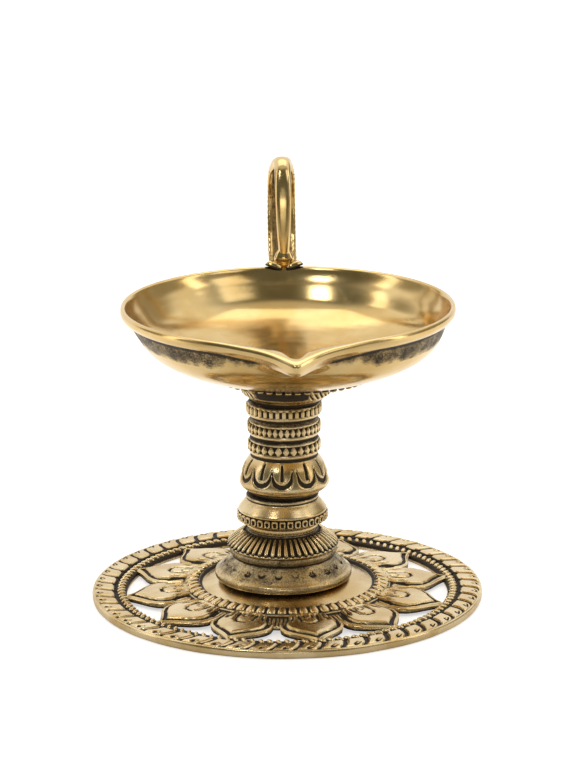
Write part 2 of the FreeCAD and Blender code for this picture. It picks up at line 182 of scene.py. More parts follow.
def grid_faces(rows: int, columns: int, wrap_rows: bool, wrap_columns: bool) -> list[tuple[int, ...]]:
    """The four-sided faces of a grid of corners, row after row, that may close on itself either way.

    Args:
        rows: Number of rows.
        columns: Number of columns.
        wrap_rows: True where the last row joins the first.
        wrap_columns: True where the last column joins the first.

    Returns:
        The faces, as the corners' numbers.
    """
    row = np.arange(rows if wrap_rows else rows - 1)
    column = np.arange(columns if wrap_columns else columns - 1)
    first, second = np.meshgrid(row, column, indexing="ij")
    next_row, next_column = (first + 1) % rows, (second + 1) % columns
    quads = np.stack([
        first * columns + second,
        first * columns + next_column,
        next_row * columns + next_column,
        next_row * columns + second,
    ], axis=-1)
    return [tuple(quad) for quad in quads.reshape(-1, 4).tolist()]


def sheet(top: np.ndarray, floor: np.ndarray, patina_and_painted_shade: np.ndarray) -> Shell:
    """A closed slab between an upper and a lower grid of corners.

    Args:
        top: The upper corners, rows by columns by three.
        floor: The lower corners, the same shape.
        patina_and_painted_shade: How far each upper corner is recessed, rows by columns.

    Returns:
        The closed shell.
    """
    rows, columns = patina_and_painted_shade.shape
    count = rows * columns
    faces = grid_faces(rows, columns, False, False)
    faces += [tuple(index + count for index in face[::-1]) for face in faces]
    border = [(0, c) for c in range(columns)] + [(r, columns - 1) for r in range(1, rows)]
    border += [(rows - 1, c) for c in range(columns - 2, -1, -1)] + [(r, 0) for r in range(rows - 2, 0, -1)]
    ids = [row * columns + column for row, column in border]
    faces += [(a, a + count, b + count, b) for a, b in zip(ids, ids[1:] + ids[:1])]
    corners = np.concatenate([top.reshape(-1, 3), floor.reshape(-1, 3)])
    dark = np.concatenate([np.clip(patina_and_painted_shade, 0, 1).ravel(), np.full(count, 0.9)])
    return Shell(corners, faces, dark).outward()


@dataclass
class Turning:
    """A ring-shaped casting: a closed outline turned about an upright axis, with relief worked into it."""

    outline: list[tuple[float, float]]
    sectors: int = 360
    step: float = 0.45
    blur: float = 0.5

    def shell(self, relief: Relief, angles: np.ndarray | None = None) -> Shell:
        """Turns the outline.

        Args:
            relief: Gives height in millimetres and recess, for angle, radius and height of each corner.
            angles: The sectors' angles, where they aren't even.

        Returns:
            The closed shell, about the z axis.
        """
        path = soften(self.outline, self.step, self.blur)
        if angles is None:
            angles = np.linspace(0.0, FULL_TURN, self.sectors, endpoint=False)
        along = np.roll(path, -1, axis=0) - np.roll(path, 1, axis=0)
        along /= np.maximum(np.hypot(*along.T), 1e-9)[:, None]
        area = np.sum(path[:, 0] * np.roll(path[:, 1], -1) - np.roll(path[:, 0], -1) * path[:, 1])
        out = np.stack([along[:, 1], -along[:, 0]], axis=1) * (1.0 if area > 0 else -1.0)
        angle, radius = np.meshgrid(angles, path[:, 0], indexing="ij")
        height = np.broadcast_to(path[:, 1], angle.shape)
        rise, patina_and_painted_shade = relief(angle, radius, height)
        radius = radius + rise * out[:, 0]
        height = height + rise * out[:, 1]
        corners = np.stack([radius * np.cos(angle), radius * np.sin(angle), height], axis=-1).reshape(-1, 3)
        faces = grid_faces(len(angles), len(path), True, True)
        return Shell(corners, faces, np.clip(patina_and_painted_shade, 0.0, 1.0).ravel()).outward()


class Plan(Enum):
    """The plan of a small raised ornament, as the power that shapes its edge."""

    DIAMOND = 1.05
    OVAL = 2.0
    CUSHION = 3.2
    BLOCK = 6.0


@dataclass
class Boss:
    """One small raised ornament, crowned, on a skirt that sinks into the casting under it."""

    plan: Plan
    length: float
    width: float
    rise: float
    skirt: float = 0.5
    spokes: int = 16
    rings: int = 5
    crown: float = 2.2
    taper: float = 0.0
    bend: float = 0.0
    pit_depth: float = 0.0
    pit_size: float = 0.45
    pit_place: tuple[float, float] = (0.0, 0.0)

    def shell(self) -> Shell:
        """Its shell, with its length along x, its width along y and its crown up z.

        Returns:
            The closed shell, about its own middle.
        """
        turn = np.linspace(0.0, FULL_TURN, self.spokes, endpoint=False)
        power = self.plan.value
        edge = (np.abs(np.cos(turn)) ** power + np.abs(np.sin(turn)) ** power) ** (-1.0 / power)
        share = np.linspace(0.0, 1.0, self.rings + 1)[1:] ** 0.8
        reach = share[:, None] * edge[None, :]
        x, y = reach * np.cos(turn), reach * np.sin(turn)
        rho = np.broadcast_to(share[:, None], x.shape)
        x, y, rho = (np.concatenate([[0.0], grid.ravel()]) for grid in (x, y, rho))
        lift = (1.0 - rho ** self.crown) ** (1.0 / self.crown)
        pit = np.exp(-(((x - self.pit_place[0]) ** 2 + (y - self.pit_place[1]) ** 2) / self.pit_size ** 2))
        z = self.rise * lift - self.pit_depth * pit
        patina_and_painted_shade = ramp(0.45, 0.05, lift) * 0.9 + (pit > 0.35) * min(1.0, self.pit_depth * 8.0)
        y = y * (1.0 - self.taper * x) + self.bend * x * x
        top = np.stack([x * self.length / 2, y * self.width / 2, z], axis=1)
        foot = top[-self.spokes:].copy()
        foot[:, 2] = -self.skirt
        corners = np.concatenate([top, foot])
        count, last = self.spokes, self.rings * self.spokes + 1
        faces = [(0, 1 + k, 1 + (k + 1) % count) for k in range(count)]
        for ring in range(self.rings):
            base = 1 + ring * count
            beyond = base + count
            pairs = [(k, (k + 1) % count) for k in range(count)]
            faces += [(base + k, beyond + k, beyond + after, base + after) for k, after in pairs]
        faces.append(tuple(range(last, last + count)))
        return Shell(corners, faces, np.concatenate([patina_and_painted_shade, np.ones(count)])).outward()


# --- repeats --------------------------------------------------------------------------------------


class AroundAxis:
    """A Geometry Nodes tree that sets copies of one ornament evenly around an upright axis."""

    SOCKETS = (
        ("Ornament", "NodeSocketObject"),
        ("Count", "NodeSocketInt"),
        ("Radius", "NodeSocketFloat"),
        ("Height", "NodeSocketFloat"),
        ("Axis X", "NodeSocketFloat"),
        ("Start Angle", "NodeSocketFloat"),
        ("Size Spread", "NodeSocketFloat"),
        ("Turn Spread", "NodeSocketFloat"),
        ("Seed", "NodeSocketInt"),
        ("Finish", "NodeSocketMaterial"),
    )

    def __init__(self) -> None:
        """Builds the tree."""
        self.tree = bpy.data.node_groups.new("copies_around_axis", "GeometryNodeTree")
        self.ids: dict[str, str] = {}
        face = self.tree.interface
        face.new_socket("Geometry", in_out="INPUT", socket_type="NodeSocketGeometry")
        for name, kind in self.SOCKETS:
            self.ids[name] = face.new_socket(name, in_out="INPUT", socket_type=kind).identifier
        face.new_socket("Geometry", in_out="OUTPUT", socket_type="NodeSocketGeometry")
        self._wire()

    def _math(self, operation: str, first: object, second: object) -> Socket:
        """Adds one sum, each side a socket or a number.

        Args:
            operation: The node's operation.
            first: Its first value.
            second: Its second value.

        Returns:
            Its output socket.
        """
        node = self.tree.nodes.new("ShaderNodeMath")
        node.operation = operation
        for socket, value in zip(node.inputs, (first, second)):
            if isinstance(value, Socket):
                self.tree.links.new(value, socket)
            else:
                socket.default_value = value
        return node.outputs[0]

    def _spread(self, amount: Socket, middle: float, seed: Socket) -> Socket:
        """A random value for each copy, within the amount of the middle.

        Args:
            amount: The most that a value may differ from the middle.
            middle: The middle.
            seed: The random value's seed.

        Returns:
            Its output socket.
        """
        node = self.tree.nodes.new("FunctionNodeRandomValue")
        node.data_type = "FLOAT"
        low = self._math("SUBTRACT", middle, amount)
        high = self._math("ADD", middle, amount)
        value_sockets = [socket for socket in node.inputs if socket.type == "VALUE"]
        self.tree.links.new(low, value_sockets[0])
        self.tree.links.new(high, value_sockets[1])
        self.tree.links.new(seed, node.inputs["Seed"])
        return next(socket for socket in node.outputs if socket.type == "VALUE")

    def _wire(self) -> None:
        """Places and links the nodes."""
        nodes, links = self.tree.nodes, self.tree.links
        given = nodes.new("NodeGroupInput").outputs
        index = nodes.new("GeometryNodeInputIndex").outputs[0]
        share = self._math("DIVIDE", index, given["Count"])
        angle = self._math("ADD", self._math("MULTIPLY", share, FULL_TURN), given["Start Angle"])
        place = nodes.new("ShaderNodeCombineXYZ")
        across = self._math("MULTIPLY", self._math("COSINE", angle, 0.0), given["Radius"])
        links.new(self._math("ADD", across, given["Axis X"]), place.inputs[0])
        links.new(self._math("MULTIPLY", self._math("SINE", angle, 0.0), given["Radius"]), place.inputs[1])
        links.new(given["Height"], place.inputs[2])
        points = nodes.new("GeometryNodePoints")
        links.new(given["Count"], points.inputs["Count"])
        links.new(place.outputs[0], points.inputs["Position"])
        turn = nodes.new("ShaderNodeCombineXYZ")
        wander = self._spread(given["Turn Spread"], 0.0, given["Seed"])
        links.new(self._math("ADD", angle, wander), turn.inputs[2])
        ornament = nodes.new("GeometryNodeObjectInfo")
        ornament.transform_space = "ORIGINAL"
        links.new(given["Ornament"], ornament.inputs["Object"])
        copies = nodes.new("GeometryNodeInstanceOnPoints")
        links.new(points.outputs[0], copies.inputs["Points"])
        links.new(ornament.outputs["Geometry"], copies.inputs["Instance"])
        links.new(turn.outputs[0], copies.inputs["Rotation"])
        links.new(self._spread(given["Size Spread"], 1.0, given["Seed"]), copies.inputs["Scale"])
        real = nodes.new("GeometryNodeRealizeInstances")
        links.new(copies.outputs[0], real.inputs[0])
        dressed = nodes.new("GeometryNodeSetMaterial")
        links.new(real.outputs[0], dressed.inputs["Geometry"])
        links.new(given["Finish"], dressed.inputs["Material"])
        links.new(dressed.outputs[0], nodes.new("NodeGroupOutput").inputs[0])

    def make(
        self, name: str, ornament: Shell, values: dict[str, object], finish: bpy.types.Material,
    ) -> bpy.types.Object:
        """Sets the copies and makes them one plain mesh.

        Args:
            name: The piece's name.
            ornament: One ornament, where it sits beside the ring's own point: x outwards, y around, z up.
            values: The tree's inputs by name, lengths in metres.
            finish: The material of every copy.

        Returns:
            The finished object.
        """
        source = ornament.to_object(f"{name}_source")
        holder = bpy.data.objects.new(name, bpy.data.meshes.new(name))
        bpy.context.scene.collection.objects.link(holder)
        copies = holder.modifiers.new("copies", "NODES")
        copies.node_group = self.tree
        settings = {"Ornament": source, "Finish": finish, "Seed": 7, **values}
        for key, value in settings.items():
            copies[self.ids[key]] = value
        bpy.context.view_layer.update()
        evaluated = holder.evaluated_get(bpy.context.evaluated_depsgraph_get())
        mesh = bpy.data.meshes.new_from_object(evaluated)
        holder.modifiers.clear()
        holder.data = mesh
        mesh.name = name
        bpy.data.objects.remove(source)
        return holder


# --- finishes -------------------------------------------------------------------------------------


def node_value(tree: bpy.types.NodeTree, operation: str, *values: object, clamp: bool = False) -> Socket:
    """Adds a sum to a shader tree, each value a socket or a number.

    Args:
        tree: The tree to add to.
        operation: The node's operation.
        values: Its values, in order.
        clamp: True to keep the result from 0 to 1.

    Returns:
        Its output socket.
    """
    node = tree.nodes.new("ShaderNodeMath")
    node.operation = operation
    node.use_clamp = clamp
    for socket, value in zip(node.inputs, values):
        if isinstance(value, Socket):
            tree.links.new(value, socket)
        else:
            socket.default_value = value
    return node.outputs[0]


def node_noise(tree: bpy.types.NodeTree, place: Socket, scale: float, detail: float) -> Socket:
    """Adds a noise texture and returns its value.

    Args:
        tree: The tree to add to.
        place: Where it is read.
        scale: The noise's scale.
        detail: The noise's detail.

    Returns:
        Its output socket.
    """
    node = tree.nodes.new("ShaderNodeTexNoise")
    node.inputs["Scale"].default_value = scale
    node.inputs["Detail"].default_value = detail
    tree.links.new(place, node.inputs["Vector"])
    return node.outputs[0]


def node_range(tree: bpy.types.NodeTree, value: Socket, low: float, high: float) -> Socket:
    """A smooth step of a socket from 0 at low to 1 at high.

    Args:
        tree: The tree to add to.
        value: The socket to read.
        low: The value that gives 0.
        high: The value that gives 1.

    Returns:
        Its output socket.
    """
    node = tree.nodes.new("ShaderNodeMapRange")
    node.interpolation_type = "SMOOTHSTEP"
    node.inputs["From Min"].default_value = low
    node.inputs["From Max"].default_value = high
    tree.links.new(value, node.inputs["Value"])
    return node.outputs[0]


def node_mix(tree: bpy.types.NodeTree, share: Socket, first: object, second: object) -> Socket:
    """A colour mix, each side a socket or a colour.

    Args:
        tree: The tree to add to.
        share: The second colour's share.
        first: The first colour.
        second: The second colour.

    Returns:
        Its output socket.
    """
    node = tree.nodes.new("ShaderNodeMix")
    node.data_type = "RGBA"
    tree.links.new(share, node.inputs["Factor"])
    for socket, value in zip((node.inputs[6], node.inputs[7]), (first, second)):
        if isinstance(value, Socket):
            tree.links.new(value, socket)
        else:
            socket.default_value = (*value, 1.0)
    return node.outputs[2]


class SharedEffects:
    """Node groups that more than one finish uses."""

    def __init__(self) -> None:
        """Builds the groups."""
        self.patina = self._patina()
        self.polish = self._polish()

    @staticmethod
    def _group(
        name: str, inputs: tuple[tuple[str, str, float], ...], outputs: tuple[str, ...],
    ) -> bpy.types.NodeTree:
        """An empty group with its sockets.

        Args:
            name: The group's name.
            inputs: Each input's name, kind and value.
            outputs: Each output's name.

        Returns:
            The group.
        """
        tree = bpy.data.node_groups.new(name, "ShaderNodeTree")
        for label, kind, value in inputs:
            socket = tree.interface.new_socket(label, in_out="INPUT", socket_type=kind)
            if kind == "NodeSocketFloat":
                socket.default_value = value
        for label in outputs:
            tree.interface.new_socket(label, in_out="OUTPUT", socket_type="NodeSocketFloat")
        return tree

    def _patina(self) -> bpy.types.NodeTree:
        """Dark patina that stays in recesses and breaks up at its edges; the same mask carries painted shade in a few
        places.

        Returns:
            The group.
        """
        tree = self._group("dark_patina_and_painted_shade", (
            ("Place", "NodeSocketVector", 0.0),
            ("Patina And Painted Shade", "NodeSocketFloat", 0.0),
            ("Break Up", "NodeSocketFloat", 0.5),
            ("Age", "NodeSocketFloat", 0.0),
        ), ("Mask", "Grain"))
        given = tree.nodes.new("NodeGroupInput").outputs
        fine = node_noise(tree, given["Place"], 1900.0, 3.0)
        broad = node_noise(tree, given["Place"], 240.0, 4.0)
        broad_part = node_value(tree, "MULTIPLY", broad, 0.45)
        speck = node_value(tree, "MULTIPLY_ADD", fine, 0.55, broad_part)
        shifted = node_value(tree, "SUBTRACT", speck, 0.5)
        lifted = node_value(tree, "MULTIPLY", shifted, given["Break Up"])
        raw = node_value(tree, "ADD", node_value(tree, "ADD", given["Patina And Painted Shade"], lifted), given["Age"])
        out = tree.nodes.new("NodeGroupOutput")
        tree.links.new(node_range(tree, raw, 0.28, 0.72), out.inputs["Mask"])
        tree.links.new(fine, out.inputs["Grain"])
        return tree

    def _polish(self) -> bpy.types.NodeTree:
        """Hand-polish marks: long fine turning lines and a few crossing scratches.

        Returns:
            The group.
        """
        tree = self._group("polish_marks", (
            ("Place", "NodeSocketVector", 0.0),
        ), ("Lines", "Scratches"))
        given = tree.nodes.new("NodeGroupInput").outputs
        split = tree.nodes.new("ShaderNodeSeparateXYZ")
        tree.links.new(given["Place"], split.inputs[0])
        across = node_value(tree, "MULTIPLY", split.outputs[0], split.outputs[0])
        along = node_value(tree, "MULTIPLY", split.outputs[1], split.outputs[1])
        radius = node_value(tree, "SQRT", node_value(tree, "ADD", across, along))
        rings = tree.nodes.new("ShaderNodeCombineXYZ")
        tree.links.new(radius, rings.inputs[0])
        tree.links.new(split.outputs[2], rings.inputs[2])
        tree.links.new(node_value(tree, "MULTIPLY", split.outputs[0], 0.05), rings.inputs[1])
        lines = node_noise(tree, rings.outputs[0], 2600.0, 2.0)
        masks = []
        for turn, scale in ((0.5, 260.0), (2.1, 340.0)):
            mapping = tree.nodes.new("ShaderNodeMapping")
            mapping.inputs["Rotation"].default_value = (turn, turn * 0.7, turn * 1.9)
            mapping.inputs["Scale"].default_value = (1.0, 14.0, 3.0)
            tree.links.new(given["Place"], mapping.inputs["Vector"])
            cells = tree.nodes.new("ShaderNodeTexVoronoi")
            cells.feature = "DISTANCE_TO_EDGE"
            cells.inputs["Scale"].default_value = scale
            tree.links.new(mapping.outputs[0], cells.inputs["Vector"])
            edge = node_range(tree, cells.outputs["Distance"], 0.035, 0.0)
            gate = node_range(tree, node_noise(tree, given["Place"], scale * 0.5, 1.0), 0.56, 0.72)
            masks.append(node_value(tree, "MULTIPLY", edge, gate))
        out = tree.nodes.new("NodeGroupOutput")
        tree.links.new(lines, out.inputs["Lines"])
        tree.links.new(node_value(tree, "MAXIMUM", *masks), out.inputs["Scratches"])
        return tree


@dataclass(frozen=True)
class Brass:
    """A brass finish, from bright metal on the heights to dark patina in the recesses, and painted shade in a few
    places.
    """

    name: str
    bright: tuple[float, float, float]
    warm: tuple[float, float, float]
    dark: tuple[float, float, float]
    roughness: float
    dark_roughness: float
    break_up: float
    age: float
    lines: float
    scratches: float
    grain: float

    def material(self, effects: SharedEffects) -> bpy.types.Material:
        """Builds the material.

        Args:
            effects: The shared node groups.

        Returns:
            The material.
        """
        made = bpy.data.materials.new(self.name)
        made.use_nodes = True
        tree = made.node_tree
        shader = tree.nodes["Principled BSDF"]
        place = tree.nodes.new("ShaderNodeTexCoord").outputs["Object"]
        # This attribute holds the patina in the recesses and, in a few places, painted shade.
        patina_and_painted_shade = tree.nodes.new("ShaderNodeAttribute")
        patina_and_painted_shade.attribute_name = "patina_and_painted_shade"
        patina = tree.nodes.new("ShaderNodeGroup")
        patina.node_tree = effects.patina
        tree.links.new(place, patina.inputs["Place"])
        tree.links.new(patina_and_painted_shade.outputs["Fac"], patina.inputs["Patina And Painted Shade"])
        patina.inputs["Break Up"].default_value = self.break_up
        patina.inputs["Age"].default_value = self.age
        polish = tree.nodes.new("ShaderNodeGroup")
        polish.node_tree = effects.polish
        tree.links.new(place, polish.inputs["Place"])
        mask = patina.outputs["Mask"]
        tint = node_range(tree, node_noise(tree, place, 75.0, 3.0), 0.35, 0.7)
        metal = node_mix(tree, tint, self.bright, self.warm)
        tree.links.new(node_mix(tree, mask, metal, self.dark), shader.inputs["Base Color"])
        crusted = node_value(tree, "MULTIPLY", mask, 0.45)
        tree.links.new(node_value(tree, "SUBTRACT", 1.0, crusted), shader.inputs["Metallic"])
        centred = node_value(tree, "SUBTRACT", polish.outputs["Lines"], 0.5)
        smooth = node_value(tree, "MULTIPLY_ADD", centred, self.lines, self.roughness)
        scored = node_value(tree, "MULTIPLY_ADD", polish.outputs["Scratches"], self.scratches, smooth)
        roughened = self.dark_roughness - self.roughness
        aged = node_value(tree, "MULTIPLY_ADD", mask, roughened, scored, clamp=True)
        tree.links.new(aged, shader.inputs["Roughness"])
        scored_down = node_value(tree, "MULTIPLY", polish.outputs["Scratches"], -self.scratches)
        height = node_value(tree, "MULTIPLY_ADD", polish.outputs["Lines"], self.lines * 0.4, scored_down)
        grain = node_value(tree, "MULTIPLY_ADD", mask, self.grain * 2.0, self.grain)
        pitted = node_value(tree, "MULTIPLY_ADD", patina.outputs["Grain"], grain, height)
        bump = tree.nodes.new("ShaderNodeBump")
        bump.inputs["Strength"].default_value = 0.6
        bump.inputs["Distance"].default_value = 0.00012
        tree.links.new(pitted, bump.inputs["Height"])
        tree.links.new(bump.outputs["Normal"], shader.inputs["Normal"])
        return made


@dataclass(frozen=True)
class Steel:
    """Plain zinc-coated steel for the bolt and its washer."""

    name: str = "steel"
    colour: tuple[float, float, float] = (0.56, 0.55, 0.52)
    tarnish: tuple[float, float, float] = (0.36, 0.33, 0.28)

    def material(self, effects: SharedEffects) -> bpy.types.Material:
        """Builds the material.

        Args:
            effects: The shared node groups.

        Returns:
            The material.
        """
        made = bpy.data.materials.new(self.name)
        made.use_nodes = True
        tree = made.node_tree
        shader = tree.nodes["Principled BSDF"]
        shader.inputs["Metallic"].default_value = 1.0
        place = tree.nodes.new("ShaderNodeTexCoord").outputs["Object"]
        polish = tree.nodes.new("ShaderNodeGroup")
        polish.node_tree = effects.polish
        tree.links.new(place, polish.inputs["Place"])
        cloud = node_range(tree, node_noise(tree, place, 300.0, 4.0), 0.4, 0.7)
        tree.links.new(node_mix(tree, cloud, self.colour, self.tarnish), shader.inputs["Base Color"])
        streaks = node_value(tree, "MULTIPLY_ADD", polish.outputs["Lines"], 0.25, 0.22)
        tree.links.new(streaks, shader.inputs["Roughness"])
        return made


POLISHED = Brass(
    name="polished_brass", bright=(0.80, 0.585, 0.27), warm=(0.72, 0.49, 0.19), dark=(0.040, 0.027, 0.014),
    roughness=0.17, dark_roughness=0.55, break_up=0.9, age=-0.12, lines=0.06, scratches=0.05, grain=0.03,
)
ANTIQUE = Brass(
    name="antique_brass", bright=(0.82, 0.65, 0.38), warm=(0.62, 0.43, 0.18), dark=(0.042, 0.029, 0.015),
    roughness=0.25, dark_roughness=0.6, break_up=0.95, age=0.06, lines=0.08, scratches=0.08, grain=0.2,
)


class Body(Enum):
    """The bodies that the visible pieces ride on."""

    STAND = "stand"
    BOWL = "bowl"


class Finish(Enum):
    """The lamp's finishes, each named as its material slot is."""

    POLISHED = "polished_brass"
    ANTIQUE = "antique_brass"
    STEEL = "steel"


@dataclass
class Workshop:
    """What every sub-assembly needs: the finishes and the tree that repeats ornaments."""

    finishes: dict[Finish, bpy.types.Material]
    around: AroundAxis

    @classmethod
    def open(cls) -> "Workshop":
        """Builds the finishes and the tree.

        Returns:
            The workshop.
        """
        effects = SharedEffects()
        finishes = {
            Finish.POLISHED: POLISHED.material(effects),
            Finish.ANTIQUE: ANTIQUE.material(effects),
            Finish.STEEL: Steel().material(effects),
        }
        return cls(finishes, AroundAxis())

    def fit(self, piece: bpy.types.Object, body: Body, finish: Finish, node: str | None = None) -> None:
        """Dresses a finished piece, rides it on its body and hides the CAD node that it replaces.

        Args:
            piece: The finished piece.
            body: The body that carries it.
            finish: Its finish.
            node: The CAD node that it replaces, where it replaces one.
        """
        piece.data.materials.clear()
        piece.data.materials.append(self.finishes[finish])
        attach(piece, body.value)
        if node:
            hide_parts(node)
        LOG.info("%s rides on %s: %d faces", piece.name, body.value, len(piece.data.polygons))

    def ring(
        self, name: str, ornament: Shell, values: dict[str, object],
        body: Body = Body.STAND, finish: Finish = Finish.ANTIQUE,
    ) -> None:
        """Sets copies of one ornament around an axis and fits them as one piece.

        Args:
            name: The piece's name.
            ornament: One ornament.
            values: The tree's inputs by name.
            body: The body that carries the piece.
            finish: Its finish.
        """
        self.fit(self.around.make(name, ornament, values, self.finishes[finish]), body, finish)


def axis_of(node: str) -> float:
    """Where a casting's own upright axis stands, left to right, in millimetres."""
    low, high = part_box(node)
    return (low.x + high.x) / 2 / MM


def top_of(node: str) -> float:
    """A node's highest point, in millimetres."""
    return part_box(node)[1].z / MM


# --- the plate ------------------------------------------------------------------------------------


@dataclass
class LotusPlate:
    """The openwork plate: gadrooned rim, rope, petals, ribbed ring and dish. petal_turn is in degrees."""

    shop: Workshop
    rim_inner: float = 52.3
    rim_top: float = 3.2
    groove_radius: float = 56.0
    rope_radius: float = 54.1
    strands: int = 124
    gadroons: int = 52
    gadroon_radius: float = 59.3
    petals: int = 12
    petal_turn: float = 10.0
    petal_root: float = 30.5
    petal_tip: float = 53.0
    petal_underside: float = 0.9
    ribs: int = 58
    rib_radius: float = 31.0
    dish_radius: float = 28.2
    ring_radius: float = 33.4
    web_radius: float = 39.5

    def build(self) -> None:
        """Makes every part of the plate."""
        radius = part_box("lotus_plate")[1].x / MM
        self._rim(radius)
        self._rope()
        self._gadroons()
        self._petals()
        self._dish()
        self._ribs()

    def _rim(self, radius: float) -> None:
        """The flat band under the gadroons and the rope, with a plain rounded edge.

        Args:
            radius: The plate's outer radius.
        """
        inner, top, groove = self.rim_inner, self.rim_top, self.groove_radius
        outline = [
            (inner, 0.0), (radius - 0.5, 0.0), (radius, 0.5), (radius, top - 0.9),
            (radius - 0.45, top - 0.35), (radius - 0.7, top - 0.3), (radius - 1.1, top - 0.75),
            (groove + 0.5, top - 0.7), (groove, top - 1.6), (groove - 0.5, top - 0.9),
            (inner + 0.4, top - 0.9), (inner, top - 1.3),
        ]

        def relief(angle: np.ndarray, across: np.ndarray, height: np.ndarray) -> Pair:
            """Dark between the ornaments, bright on the edge, with a slightly uneven cast edge.

            Args:
                angle: Each corner's angle about the casting's axis.
                across: Its distance from that axis.
                height: Its height.

            Returns:
                How far it is raised, and how far it is recessed for the patina.
            """
            inside = ramp(radius - 0.85, radius - 1.15, across) * ramp(0.8, 1.4, height)
            wall = ramp(inner + 0.3, inner, across) * 0.35
            uneven = 0.05 * np.sin(angle * 23 + 1.3) * np.sin(angle * 7) * ramp(radius - 1.2, radius, across)
            return uneven, np.maximum(inside, wall)

        shell = Turning(outline, sectors=720, step=0.4, blur=0.35).shell(relief)
        self.shop.fit(shell.to_object("plate_rim"), Body.STAND, Finish.ANTIQUE, "lotus_plate")

    def _rope(self) -> None:
        """The ring of slanted strands inside the gadroons."""
        strand = Boss(Plan.OVAL, 3.5, 1.6, 0.95, skirt=0.7, spokes=12, rings=4).shell()
        slant = Matrix.Rotation(math.radians(34), 4, "Z")
        self.shop.ring("plate_rope", strand.moved(slant), {
            "Count": self.strands, "Radius": self.rope_radius * MM, "Height": (self.rim_top - 1.05) * MM,
            "Size Spread": 0.06, "Turn Spread": 0.05,
        })

    def _gadroons(self) -> None:
        """The slanted lobes of the rim, each with a comma-shaped punch near its outer end."""
        rows, columns, start, length = 25, 27, self.groove_radius + 0.15, 6.55
        crowding = 1.35
        sides = np.sin(np.linspace(-1, 1, columns) * crowding) / math.sin(crowding)
        u, v = np.meshgrid(np.linspace(0.0, 1.0, rows), sides, indexing="ij")
        along = start + u * length
        half = (math.pi * along / self.gadroons - 0.17) * (1.0 - 0.3 * ramp(0.2, 0.0, u))
        swing = -0.78 * (along - start - 3.2) + 0.75 * np.sin((u - 0.4) * 4.2)
        edge = np.minimum((1 - np.abs(v)) * half, u * length + 0.05)
        hook = np.hypot(along - start - 4.9, v * half - 0.7)
        curl = line_mark(hook - 0.85, 0.44) * ramp(-0.75, -0.35, along - start - 4.9 - 0.5 * (v * half - 0.7))
        rise = 1.15 * ramp(-0.3, 1.3, edge) - 0.5 * curl - 0.5 * ramp(0.86, 1.0, u)
        top = np.stack([along - self.gadroon_radius, v * half + swing, rise - 0.15], axis=-1)
        floor = np.stack([along - self.gadroon_radius, v * half + swing, np.full_like(rise, -0.75)], axis=-1)
        lobe = sheet(top, floor, np.maximum(curl * 1.1, 1.1 * ramp(0.72, 0.32, edge) * ramp(1.0, 0.85, u)))
        self.shop.ring("plate_gadroons", lobe, {
            "Count": self.gadroons, "Radius": self.gadroon_radius * MM, "Height": (self.rim_top - 0.85) * MM,
            "Size Spread": 0.012, "Turn Spread": 0.03, "Seed": 3,
        })

    def _petal_half_width(self, reach: np.ndarray) -> np.ndarray:
        """Half a petal's width at a distance from the plate's centre.

        Args:
            reach: Distances from the plate's centre.

        Returns:
            Half the width at each.
        """
        stations = (
            (30.0, 7.6), (34.0, 8.7), (38.0, 9.8), (41.5, 10.2), (44.0, 9.5), (46.4, 7.6), (48.4, 5.2),
            (50.2, 3.1), (51.8, 1.6), (53.2, 0.7),
        )
        fine = np.linspace(stations[0][0] - 2, stations[-1][0] + 2, 600)
        rough = np.interp(fine, *zip(*stations))
        kernel = np.hanning(41)
        eased = np.convolve(np.pad(rough, 20, mode="edge"), kernel / kernel.sum(), mode="valid")
        return np.interp(reach, fine, eased)

    def _petal(self) -> Shell:
        """One petal: a raised field inside an engraved outline, with two small scrolls near its root.

        Returns:
            The closed shell, pointing along x.
        """
        rows, columns = 76, 45
        reach = np.linspace(self.petal_root, self.petal_tip, rows)
        share = np.sin(np.linspace(-1.0, 1.0, columns) * math.pi / 2)
        along, side = np.meshgrid(reach, share, indexing="ij")
        half = self._petal_half_width(along)
        across = side * half
        steep = np.abs(np.gradient(half[:, 0], reach))[:, None]
        inset = (half - np.abs(across)) / np.sqrt(1 + steep ** 2)
        inset = np.minimum(inset, (self.petal_tip - along) * 0.9 + 0.15)
        outline = line_mark(inset - 1.55, 0.72)
        scroll = np.zeros_like(along)
        for tip, wide, stroke in ((41.2, 2.9, 0.5), (37.0, 1.2, 0.45)):
            bend = tip - wide
            arch = np.where(along > bend, np.hypot(along - bend, across) - wide, np.abs(across) - wide)
            notch = 1.0 - 0.9 * line_mark(np.abs(across) - wide * 0.55, 0.4) * ramp(bend, bend + 0.4, along)
            scroll = np.maximum(scroll, line_mark(arch, stroke) * notch)
        scroll = np.maximum(scroll, line_mark(np.hypot(along - 41.2, (np.abs(across) - 0.9) * 0.8), 0.8))
        scroll = scroll * ramp(33.6, 34.4, along)
        feather = line_mark((inset - 0.2) % 1.5 - 0.75, 0.42)
        feather = feather * ramp(40.0, 37.0, along) * ramp(5.2, 4.2, inset)
        marks = np.maximum(np.maximum(outline, scroll), feather)
        fall = 4.35 - 1.2 * (along - self.petal_root) / (self.petal_tip - self.petal_root)
        camber = 0.35 * (1 - side ** 2) + 0.45 * ramp(1.6, 3.2, inset)
        border = -0.5 * ramp(0.9, 0.0, inset)
        height = fall - 0.55 + camber + border - 0.85 * marks
        upper = np.stack([along, across, height], axis=-1)
        lower = np.stack([along, across * 0.97, np.full_like(height, self.petal_underside)], axis=-1)
        return sheet(upper, lower, marks * 1.1)

    def _petals(self) -> None:
        """Twelve petals, from the ribbed ring out to the rope."""
        self.shop.ring("plate_petals", self._petal(), {
            "Count": self.petals, "Radius": 0.0, "Height": 0.0, "Start Angle": math.radians(self.petal_turn),
            "Size Spread": 0.0, "Turn Spread": 0.012,
        })

